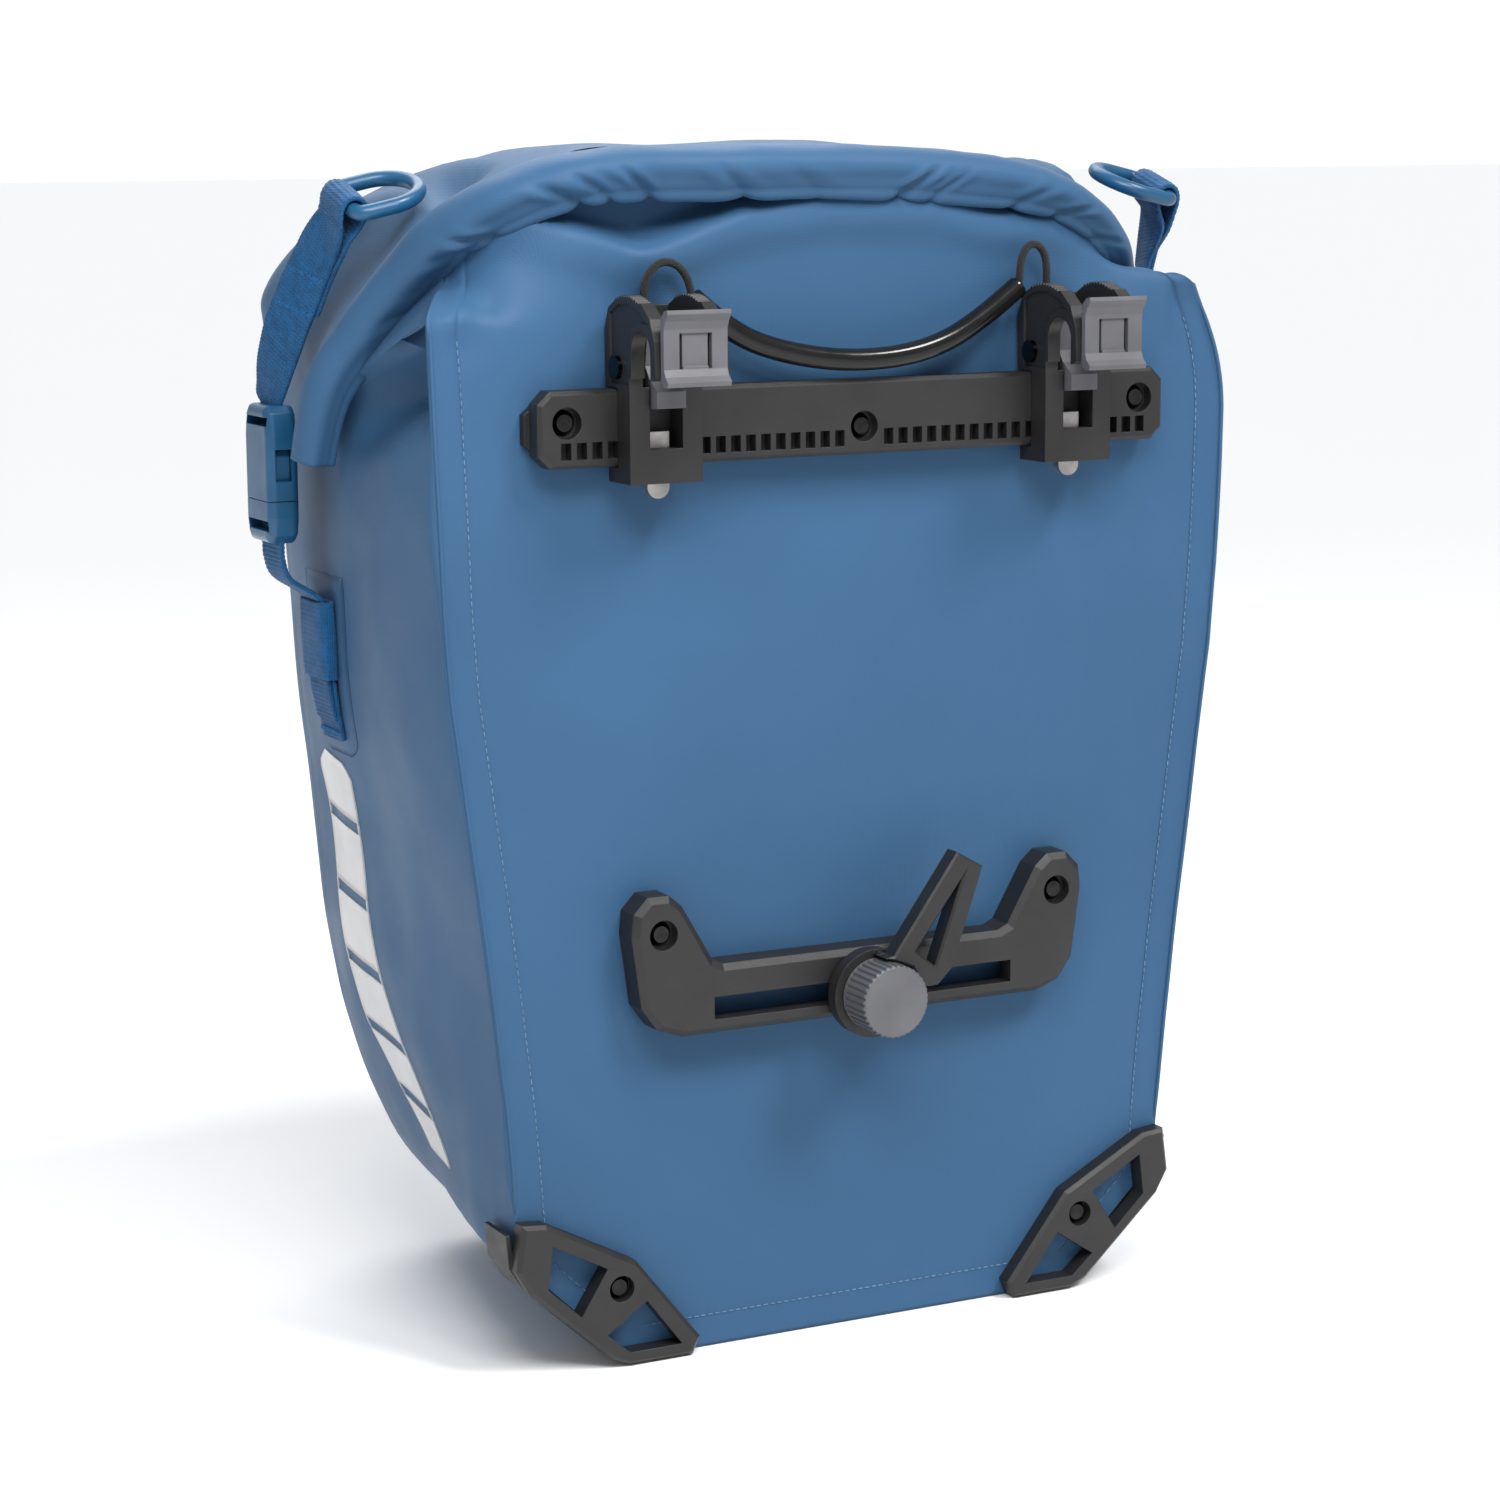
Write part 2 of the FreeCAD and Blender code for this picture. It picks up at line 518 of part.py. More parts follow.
# ---------------------------------------------------------------- rails and guards
def screw_group(label, places, seat, grip):
    """Domed screws at places: heads in recesses at depth seat, shanks running in to depth grip."""
    screws = []
    for i, (across, along) in enumerate(places):
        shank = document.addObject("Part::Cylinder", "%s_shank_%d" % (label, i))
        bind(shank, Radius="screw_shank_r", Height="%s + %s" % (seat, grip))
        head = document.addObject("Part::Cone", "%s_head_%d" % (label, i))
        bind(head, Radius1="screw_head_r", Radius2="screw_head_r - 1.8", Height="screw_head")
        shank.Placement = FreeCAD.Placement(point(0, 0, 0), FreeCAD.Rotation(point(1, 0, 0), -90))
        head.Placement = FreeCAD.Placement(point(0, 0, 0), FreeCAD.Rotation(point(1, 0, 0), 90))
        place(shank, across, "panel_y - (%s)" % seat, along)
        place(head, across, "panel_y - (%s)" % seat, along)
        screw = document.addObject("Part::Fuse", "%s_screw_%d" % (label, i))
        screw.Base = shank
        screw.Tool = head
        screws.append(screw)
    group = node(document.addObject("Part::Compound", label), label)
    group.Links = screws
    document.recompute()


def nut_group(label, places):
    """Hexagonal nuts behind the stiffener board."""
    nuts = []
    for i, (across, along) in enumerate(places):
        hexagon = document.addObject("Part::Prism", "%s_hexagon_%d" % (label, i))
        bind(hexagon, Circumradius="nut_r", Height="nut_thick")
        bore = document.addObject("Part::Cylinder", "%s_bore_%d" % (label, i))
        bind(bore, Radius="screw_shank_r", Height="nut_thick")
        for thing in (hexagon, bore):
            thing.Placement = FreeCAD.Placement(point(0, 0, 0), FreeCAD.Rotation(point(1, 0, 0), -90))
            place(thing, across, "panel_y + panel_skin + stiffener_skin + 0.4", along)
        nut = document.addObject("Part::Cut", "%s_nut_%d" % (label, i))
        nut.Base = hexagon
        nut.Tool = bore
        nuts.append(nut)
    group = node(document.addObject("Part::Compound", label), label)
    group.Links = nuts
    document.recompute()


def screw_seats(body, places, front, recess_r):
    """Round recesses for the heads and through holes for the shanks."""
    recesses = [(across, along, recess_r) for across, along in places]
    pocket(body, sketch(body, "XZ_Plane", (), recesses, front), "screw_recess")
    holes = [(across, along, "screw_hole_r") for across, along in places]
    pocket(body, sketch(body, "XZ_Plane", (), holes, front), front + " + 1")


def make_hook_rail():
    body = new_body("hook_rail")
    edge, low, high, cut = "rail_half", "rail_low", "rail_high", "rail_corner"
    plate = mirrored([(edge + "-" + cut, low), (edge, low + "+" + cut), (edge, high + "-" + cut),
                      (edge + "-" + cut, high)])
    pad(body, sketch(body, "XZ_Plane", [plate], (), "rail_base"), "rail_front - rail_base")
    dress(body, "Chamfer", "rail_bevel", on_front("rail_front"))
    base = mirrored([(edge + " - 4", low + " + 4"), (edge + " + 2", low + " + 9"),
                     (edge + " + 2", high + " - 9"), (edge + " - 4", high + " - 4")])
    pad(body, sketch(body, "XZ_Plane", [base]), "rail_base")
    screw_seats(body, SCREW_PLACES[:3], "rail_front", "screw_recess_r")
    for side in (-1, 1):
        middle = "%d*1.68*slot_pitch" % side
        slot = rectangle(middle + " - slot_wide/2", middle + " + slot_wide/2",
                         "slot_z - slot_tall/2", "slot_z + slot_tall/2")
        drawing = sketch(body, "XZ_Plane", [slot], (), "rail_front")
        first = pocket(body, drawing, "slot_deep")
        pattern = body.newObject("PartDesign::LinearPattern", "hook_rail_slots")
        pattern.Originals = [first]
        pattern.Direction = (drawing, ["H_Axis"])
        pattern.Reversed = side < 0
        pattern.Occurrences = 19
        bind(pattern, Length="18*slot_pitch")
        body.Tip = pattern
        document.recompute()


def make_tension_rail():
    body = new_body("tension_rail")
    outline = mirrored([
        ("80", "130.8"), ("90.5", "134.5"), ("97", "143.5"), ("101", "172"), ("100", "181"),
        ("94", "187.2"), ("85", "187.2"), ("79.5", "182.5"), ("66.5", "160"), ("62", "157.9")])
    slot = rectangle("-tension_slot_half", "tension_slot_half",
                     "tension_z - tension_slot_tall/2", "tension_z + tension_slot_tall/2")
    pad(body, sketch(body, "XZ_Plane", [outline]), "tension_front")
    dress(body, "Chamfer", "tension_bevel", on_front("tension_front"))
    pocket(body, sketch(body, "XZ_Plane", [slot], (), "tension_front"), "tension_front + 1")
    channel = rectangle("-channel_half", "channel_half", "tension_z - channel_tall/2",
                        "tension_z + channel_tall/2")
    pocket(body, sketch(body, "XZ_Plane", [channel], (), "channel_deep"), "channel_deep + 1")
    screw_seats(body, SCREW_PLACES[3:5], "tension_front", "screw_recess_r")


def make_corner_guard(name, side):
    """A face plate with two windows and a web, and a flange that wraps the bag's cut corner."""
    body = new_body("corner_guard_" + name)
    outline = sided(side, [
        ("101.6", "0"), ("108.7", "3.2"), ("143.5", "35"), ("148.9", "44.5"), ("146.4", "62.9"),
        ("136.1", "61.9"), ("98.2", "41.8"), ("70.7", "6.8"), ("73.8", "0")])
    upper_window = sided(side, [("134.1", "53.2"), ("111", "40.8"), ("122.3", "23"), ("136.2", "36")])
    lower_window = sided(side, [("94.1", "25.3"), ("79.1", "5.4"), ("101.5", "5.4"), ("111.3", "13.8")])
    pad(body, sketch(body, "XZ_Plane", [outline]), "guard_front")
    dress(body, "Chamfer", "guard_bevel", on_front("guard_front"))
    windows = sketch(body, "XZ_Plane", [upper_window, lower_window], (), "guard_front")
    pocket(body, windows, "guard_front + 1")
    screw_seats(body, [("%d*guard_screw_x" % side, "guard_screw_z")], "guard_front", "guard_recess_r")
    flange = sided(side, [
        ("104", "1.0"), ("108.7", "3.2"), ("143.5", "35"), ("149.6", "44.5"), ("150.8", "58"),
        ("149", "58"), ("147.4", "44.8"), ("104.2", "3.6")])
    pad(body, sketch(body, "XZ_Plane", [flange], (), "-guard_wrap"), "guard_wrap + 1")


# ---------------------------------------------------------------- tension arm
def make_tension_clamp():
    """A bolt that slides in the rail's slot, the arm that turns on it and the knob that locks them."""
    bolt = new_body("clamp_bolt", "0", "panel_y", "tension_z")
    head = rectangle("-bolt_head_half", "bolt_head_half", "-bolt_head_half", "bolt_head_half")
    pad(bolt, sketch(bolt, "XZ_Plane", [head], (), "0.8"), "channel_deep - 1.3")
    pad(bolt, sketch(bolt, "XZ_Plane", (), [("0", "0", "bolt_r")], "channel_deep - 1"),
        "knob_front - channel_deep - 5")

    washer = new_body("clamp_washer", "0", "panel_y", "tension_z")
    rings = [("0", "0", "bolt_head_half + 1.5"), ("0", "0", "bolt_r + 0.3")]
    pad(washer, sketch(washer, "XZ_Plane", (), rings, "tension_front + 0.3"), "1.2")

    arm = new_body("tension_arm", "0", "panel_y", "tension_z")
    hub = [("0", "0", "hub_r"), ("0", "0", "bolt_r + 0.1")]
    pad(arm, sketch(arm, "XZ_Plane", (), hub, "tension_front + 1.8"), "hub_thick")
    finger = [("-1", "16"), ("3", "16.5"), ("31.5", "55.5"), ("43.2", "48.7"), ("29.5", "9"), ("23", "2.8"),
              ("15.8", "2.6"), ("11.3", "11.3")]
    gap = [("33.7", "44.5"), ("12.9", "17.5"), ("21.5", "10.7")]
    pad(arm, sketch(arm, "XZ_Plane", [finger, gap], (), "arm_back"), "arm_front - arm_back")
    dress(arm, "Chamfer", "0.9", on_front("arm_front"))
    root = [("-1", "16"), ("11.3", "11.3"), ("15.8", "2.6"), ("17.4", "2.9"), ("12.3", "12.6"), ("0", "17.5")]
    pad(arm, sketch(arm, "XZ_Plane", [root], (), "tension_front + 3"), "arm_back - tension_front - 2")

    knob = new_body("tension_knob", "0", "panel_y", "tension_z")
    start = "tension_front + 2.2 + hub_thick"
    rings = [("0", "0", "knob_r")]
    pad(knob, sketch(knob, "XZ_Plane", (), rings, start), "knob_front - (%s)" % start)
    dress(knob, "Chamfer", "0.8", lambda p: abs(p.y + VALUE["knob_front"]) < 0.01)
    bore = [("0", "0", "bolt_r + 0.1")]
    pocket(knob, sketch(knob, "XZ_Plane", (), bore, "knob_front - 5"), "knob_front")
    groove = sketch(knob, "XZ_Plane", (), [("knob_r + 0.1", "0", "0.7")], "knob_front")
    first = pocket(knob, groove, "knob_front - (%s) - 1" % start)
    pattern = knob.newObject("PartDesign::PolarPattern", "tension_knob_grooves")
    pattern.Originals = [first]
    pattern.Axis = (groove, ["N_Axis"])
    pattern.Occurrences = 36
    knob.Tip = pattern
    document.recompute()


# ---------------------------------------------------------------- rack hooks
def crest_ribs():
    """Ribs across the top of a hook, from its back towards its nose."""
    ribs = []
    for i in range(10):
        far = "%d*rib_pitch" % i
        drop = "0.08*(%d - 4)*(%d - 4)" % (i, i)
        ribs += [("-12 - " + far, "416.2 - " + drop), ("-12.4 - " + far, "416.2 + rib_tall - " + drop),
                 ("-13.3 - " + far, "416.2 + rib_tall - " + drop), ("-13.7 - " + far, "416.2 - " + drop)]
    return ribs


def make_hook(name, side):
    """A hook that slides on the rail, its cord-worked latch, pivot pin, spring, insert and lock bar."""
    across = "%d*hook_x" % side
    body = new_body("hook_body_" + name, across)
    profile = [
        ("-5", "hook_low"), ("-5", "rail_low - hook_play"),
        ("-rail_front - hook_play", "rail_low - hook_play"),
        ("-rail_front - hook_play", "rail_high + hook_play"),
        ("-3", "rail_high + hook_play"), ("-2.5", "404"), ("-6", "412"), *crest_ribs(),
        ("-34", "414.5"), ("-41.5", "409"), ("-45.4", "401"), ("-finger_front", "388"),
        ("-42.5", "386.5"), ("-hook_front", "386.5"), ("-hook_front", "hook_low")]
    pad(body, sketch(body, "YZ_Plane", [profile]), "2*hook_half", True)
    throat = [("-throat_y", "throat_z", "throat_r")]
    pocket(body, sketch(body, "YZ_Plane", (), throat), "4*hook_half", True)
    mouth = rectangle("-throat_y - throat_r", "-throat_y + throat_r", "380", "throat_z")
    pocket(body, sketch(body, "YZ_Plane", [mouth]), "4*hook_half", True)
    between = rectangle("-finger_front + 4", "-7", "rail_high + 1", "425")
    pocket(body, sketch(body, "YZ_Plane", [between]), "2*cheek_gap_half", True)
    hollow = [
        ("-7.2", "384"), ("-7.2", "410"), ("-14", "413.4"), ("-24", "414"), ("-33", "411.2"),
        ("-40", "406.8"), ("-33.8", "407.6"), ("-27", "405.4"), ("-23.4", "400"), ("-22.8", "384")]
    pocket(body, sketch(body, "YZ_Plane", [hollow], (), "hook_half"), "cheek_recess")
    pocket(body, sketch(body, "YZ_Plane", [hollow], (), "cheek_recess - hook_half"), "cheek_recess + 1")
    window = rectangle("-window_half", "window_half", "window_low", "rail_high + 3")
    pocket(body, sketch(body, "XZ_Plane", [window], (), "hook_front + 1"), "hook_front - rail_front + 1")
    channel = rectangle("-5.9", "3.6", "hook_low - 1", "window_low + 1")
    pocket(body, sketch(body, "XZ_Plane", [channel], (), "19.3"), "4.8")
    pivot = [("-pivot_y", "pivot_z", "pivot_r")]
    pocket(body, sketch(body, "YZ_Plane", (), pivot), "4*hook_half", True)

    latch = new_body("hook_latch_" + name, across)
    lever = [
        ("-8.8", "387.4"), ("-8.4", "392.5"), ("-11", "394.4"), ("-14.5", "397"), ("-17", "404"),
        ("-20.5", "403.5"), ("-19.6", "396"), ("-18.6", "390.5"), ("-22", "386"), ("-28.5", "381.5"),
        ("-28.5", "375.2"), ("-21.8", "374.6"), ("-20.5", "381"), ("-17", "385"), ("-12.8", "386.2")]
    pad(latch, sketch(latch, "YZ_Plane", [lever]), "2*latch_half", True)
    bore = [("-pivot_y", "pivot_z", "pivot_r + 0.05")]
    pocket(latch, sketch(latch, "YZ_Plane", (), bore), "4*latch_half", True)

    pin = new_body("latch_pin_" + name, across)
    shank = [("-pivot_y", "pivot_z", "pivot_r")]
    pad(pin, sketch(pin, "YZ_Plane", (), shank), "2*hook_half", True)
    rivet = [("-pivot_y", "pivot_z", "rivet_r")]
    pad(pin, sketch(pin, "YZ_Plane", (), rivet, "-hook_half - 1"), "1 + cheek_recess")

    coils = []
    for i in range(3):
        coil = document.addObject("Part::Torus", "latch_coil_%s_%d" % (name, i))
        bind(coil, Radius1="pivot_r + coil_wire_r + 0.3", Radius2="coil_wire_r")
        coil.Placement = FreeCAD.Placement(point(0, 0, 0), FreeCAD.Rotation(point(0, 1, 0), 90))
        place(coil, across + " + latch_half + 1.0 + %d*coil_pitch" % i, "panel_y - pivot_y", "pivot_z")
        coils.append(coil)
    spring = node(document.addObject("Part::Compound", "latch_spring_" + name), "latch_spring_" + name)
    spring.Links = coils

    insert = new_body("tube_insert_" + name, across)
    clip = [
        ("-finger_front - 0.1", "385.6"), ("-finger_front - 0.1", "409.4"), ("-49.6", "412.2"),
        ("-52.2", "412.6"), ("-52.6", "411"), ("-50.6", "408.6"), ("-49.2", "405.6"),
        ("-49.2", "391"), ("-50.4", "388.4"), ("-52.6", "386.4"), ("-52.2", "384.6"), ("-49.6", "384.4")]
    pad(insert, sketch(insert, "YZ_Plane", [clip]), "2*insert_half", True)
    slits = [rectangle(low, high, "391", "404") for low, high in
             (("-slit_half - slit_wide", "-slit_half"), ("slit_half", "slit_half + slit_wide"))]
    pocket(insert, sketch(insert, "XZ_Plane", slits, (), "54"), "8")
    pane = rectangle("-slit_half - 0.2", "slit_half + 0.2", "392", "404")
    pocket(insert, sketch(insert, "XZ_Plane", [pane], (), "54"), "54 - 49.2 + 0.7")

    bar = new_body("lock_bar_" + name, across)
    blade = rectangle("-5.7", "3.4", "bar_low", "bar_high")
    pad(bar, sketch(bar, "XZ_Plane", [blade], (), "15"), "4")
    dress(bar, "Fillet", "4.4", lambda p: abs(p.z - VALUE["bar_low"]) < 0.01 and abs(p.x + 1.15) > 4)


def check_document():
    """Stop if any object failed, any pocket cut nothing or any node has a bad shape."""
    document.recompute()
    for thing in document.Objects:
        if "Invalid" in thing.State or "Error" in thing.State:
            raise RuntimeError("%s did not compute: %s" % (thing.Name, thing.State))
    for name, before, after in CUTS:
        if after > before - 0.01:
            raise RuntimeError("a pocket of %s cuts nothing" % name)
    for thing in NODES:
        if thing.Shape.isNull() or not thing.Shape.isValid():
            raise RuntimeError("%s has a bad shape" % thing.Label)


def main():
    make_back_panel()
    make_back_stiffener()
    make_bag_shell()
    make_collar()
    make_roll()
    make_hook_rail()
    screw_group("rail_screws", SCREW_PLACES[:3], "rail_front - screw_recess", "panel_skin + 5")
    nut_group("rail_nuts", SCREW_PLACES[:3])
    make_tension_rail()
    screw_group("tension_rail_screws", SCREW_PLACES[3:5], "tension_front - screw_recess", "panel_skin + 5")
    nut_group("tension_rail_nuts", SCREW_PLACES[3:5])
    screw_group("guard_screws", SCREW_PLACES[5:], "guard_front - screw_recess", "panel_skin + 5")
    nut_group("guard_nuts", SCREW_PLACES[5:])
    make_tension_clamp()
    for name, side in SIDES:
        make_corner_guard(name, side)
        make_lower_webbing(name, side)
        make_reflector("reflector_" + name, side)
        make_buckle(name, side)
        make_d_ring(name, side)
        make_upper_strap(name, side)
        make_hook(name, side)
    make_pull_line()
    check_document()
    os.makedirs("parts", exist_ok=True)
    for thing in NODES:
        thing.Shape.exportStep(os.path.join("parts", thing.Label + ".step"))
    print("%d sub-parts written" % len(NODES))


main()
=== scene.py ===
"""Roll-top bicycle pannier in coated fabric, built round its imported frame.

Sizes in the tables are millimetres in the panel frame: X along the rack-side panel, Y away from
the rack (0 is the face of the panel), Z up from the base. at() turns them into the row frame.
"""
import json
import math

import bpy
import numpy as np
from mathutils import Matrix, Vector, noise
from mathutils.bvhtree import BVHTree


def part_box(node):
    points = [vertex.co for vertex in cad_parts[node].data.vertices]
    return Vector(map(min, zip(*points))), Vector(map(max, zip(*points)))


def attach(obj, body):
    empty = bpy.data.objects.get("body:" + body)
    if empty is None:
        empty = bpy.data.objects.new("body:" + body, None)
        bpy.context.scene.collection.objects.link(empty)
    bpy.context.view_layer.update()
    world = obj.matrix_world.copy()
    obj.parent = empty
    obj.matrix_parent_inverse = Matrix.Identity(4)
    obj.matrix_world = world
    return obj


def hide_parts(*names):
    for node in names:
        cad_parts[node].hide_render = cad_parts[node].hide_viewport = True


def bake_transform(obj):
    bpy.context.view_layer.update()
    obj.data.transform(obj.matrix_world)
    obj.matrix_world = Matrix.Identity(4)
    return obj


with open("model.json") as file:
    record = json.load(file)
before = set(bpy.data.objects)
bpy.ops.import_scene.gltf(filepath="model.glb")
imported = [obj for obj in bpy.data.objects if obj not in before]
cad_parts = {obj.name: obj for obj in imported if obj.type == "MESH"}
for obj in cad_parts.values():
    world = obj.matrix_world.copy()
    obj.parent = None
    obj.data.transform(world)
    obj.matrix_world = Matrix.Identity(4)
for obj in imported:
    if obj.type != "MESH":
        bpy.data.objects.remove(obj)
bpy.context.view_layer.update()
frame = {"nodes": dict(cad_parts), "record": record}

MM = 0.001
PANEL_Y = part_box("back_panel")[0][1]
PANEL_SHIFT = np.array([0.0, PANEL_Y / MM, 0.0])
SIDES = (("left", -1), ("right", 1))
RING_TILT = math.radians(17.4)
RING_BAR = np.array([182.0, 63.0, 450.6])
BAR_WAY = np.array([0.0, -math.cos(RING_TILT), -math.sin(RING_TILT)])
BUCKLE = np.array([196.5, 112.0, 372.0])


def at(x, y, z):
    """A point of the panel frame, in metres in the row frame."""
    return Vector((x * MM, PANEL_Y + y * MM, z * MM))


def rows_at(points):
    """A list of panel-frame points, in metres in the row frame."""
    return np.reshape(points, (-1, 3)) * MM + np.array([0.0, PANEL_Y, 0.0])


def smoothstep(value, low, high):
    t = np.clip((np.asarray(value, float) - low) / (high - low), 0.0, 1.0)
    return t * t * (3 - 2 * t)


def bell(value, middle, wide):
    return np.exp(-((value - middle) / wide) ** 2)


def table(value, rows, column, soft=0.0):
    """A column of a table read at value; soft averages it over that reach each way."""
    keys = [row[0] for row in rows]
    data = [row[column] for row in rows]
    reach = np.linspace(-soft, soft, 7) if soft else (0.0,)
    return sum(np.interp(np.asarray(value, float) + step, keys, data) for step in reach) / len(reach)


def placed(name, data):
    """A new object in the scene."""
    thing = bpy.data.objects.new(name, data)
    bpy.context.scene.collection.objects.link(thing)
    return thing


def unit(vectors):
    return vectors / np.maximum(np.linalg.norm(vectors, axis=-1, keepdims=True), 1e-9)


# ---- camera, light and floor
CAMERA_AZIMUTH, CAMERA_ELEVATION, CAMERA_ROLL = -27.02, 9.88, -0.32
CAMERA_DISTANCE = 1401.8
CAMERA_LENS, CAMERA_SENSOR = 86.4, 36
CAMERA_TARGET = (-43.7, 0, 238.66)
CAMERA_CLIP = 0.01


def set_camera():
    azimuth, elevation = math.radians(CAMERA_AZIMUTH), math.radians(CAMERA_ELEVATION)
    back = Vector((math.sin(azimuth) * math.cos(elevation), -math.cos(azimuth) * math.cos(elevation),
                   math.sin(elevation)))
    right = Vector((math.cos(azimuth), math.sin(azimuth), 0))
    up = back.cross(right)
    turn = Matrix.Rotation(math.radians(CAMERA_ROLL), 3, back)
    axes = Matrix((turn @ right, turn @ up, back)).transposed()
    data = bpy.data.cameras.new("camera")
    data.lens = CAMERA_LENS
    data.sensor_width = CAMERA_SENSOR
    data.clip_start = CAMERA_CLIP
    camera = placed("camera", data)
    target = at(*CAMERA_TARGET)
    camera.matrix_world = Matrix.Translation(target + back * CAMERA_DISTANCE * MM) @ axes.to_4x4()
    bpy.context.scene.camera = camera


BACKDROP_COLOR = (0.95, 0.97, 1.0, 1)
BACKDROP_WAY = (0.45, 0.88, 0.0)
BACKDROP_LEVEL = (("From Min", 0.7), ("From Max", 0.93), ("To Min", 0.46), ("To Max", 1.08))
SUN_POWER, SUN_SPREAD, SUN_WAY = 2.1, 16, (-0.42, 0.62, -1.0)
AREA_LIGHTS = (
    # name, place, target, size, power
    ("top", (-0.3, -0.7, 1.0), (-0.02, -0.07, 0.44), (0.7, 0.3), 9),
    ("rim", (0.2, 0.9, 1.5), (0, 0, 0.4), (1.2, 0.8), 12))
FLOOR_HALF, FLOOR_DROP = 30.0, 0.0006
FLOOR_COLOR = (0.95, 0.95, 0.95)


def area_light(name, place, target, size, power):
    data = bpy.data.lights.new(name, "AREA")
    data.shape = "RECTANGLE"
    data.size, data.size_y = size
    data.energy = power
    lamp = placed(name, data)
    lamp.location = place
    lamp.rotation_euler = (Vector(target) - Vector(place)).to_track_quat("-Z", "Y").to_euler()


def set_stage():
    bpy.context.scene.view_settings.view_transform = "Standard"
    world = bpy.data.worlds.new("studio")
    bpy.context.scene.world = world
    world.use_nodes = True
    tree = world.node_tree
    backdrop = tree.nodes["Background"]
    backdrop.inputs["Color"].default_value = BACKDROP_COLOR
    # the backdrop behind the bag is white, and dimmer away from it
    way = tree.nodes.new("ShaderNodeTexCoord")
    facing = tree.nodes.new("ShaderNodeVectorMath")
    facing.operation = "DOT_PRODUCT"
    facing.inputs[1].default_value = BACKDROP_WAY
    level = tree.nodes.new("ShaderNodeMapRange")
    level.interpolation_type = "SMOOTHSTEP"
    for name, value in BACKDROP_LEVEL:
        level.inputs[name].default_value = value
    tree.links.new(way.outputs["Generated"], facing.inputs[0])
    tree.links.new(facing.outputs["Value"], level.inputs["Value"])
    tree.links.new(level.outputs["Result"], backdrop.inputs["Strength"])
    sun = bpy.data.lights.new("key", "SUN")
    sun.energy = SUN_POWER
    sun.angle = math.radians(SUN_SPREAD)
    lamp = placed("key", sun)
    lamp.rotation_euler = Vector(SUN_WAY).to_track_quat("-Z", "Y").to_euler()
    for light in AREA_LIGHTS:
        area_light(*light)
    mesh = bpy.data.meshes.new("floor")
    corners = [(x * FLOOR_HALF, y * FLOOR_HALF, 0) for x, y in ((-1, -1), (1, -1), (1, 1), (-1, 1))]
    mesh.from_pydata(corners, [], [(0, 1, 2, 3)])
    floor = placed("floor", mesh)
    paint = Paint("floor_paint", FLOOR_COLOR, 0.75)
    paint.roughness(paint.noise(3.0, 3), 0.7, 0.8)
    mesh.materials.append(paint.material)
    floor.location.z = -FLOOR_DROP


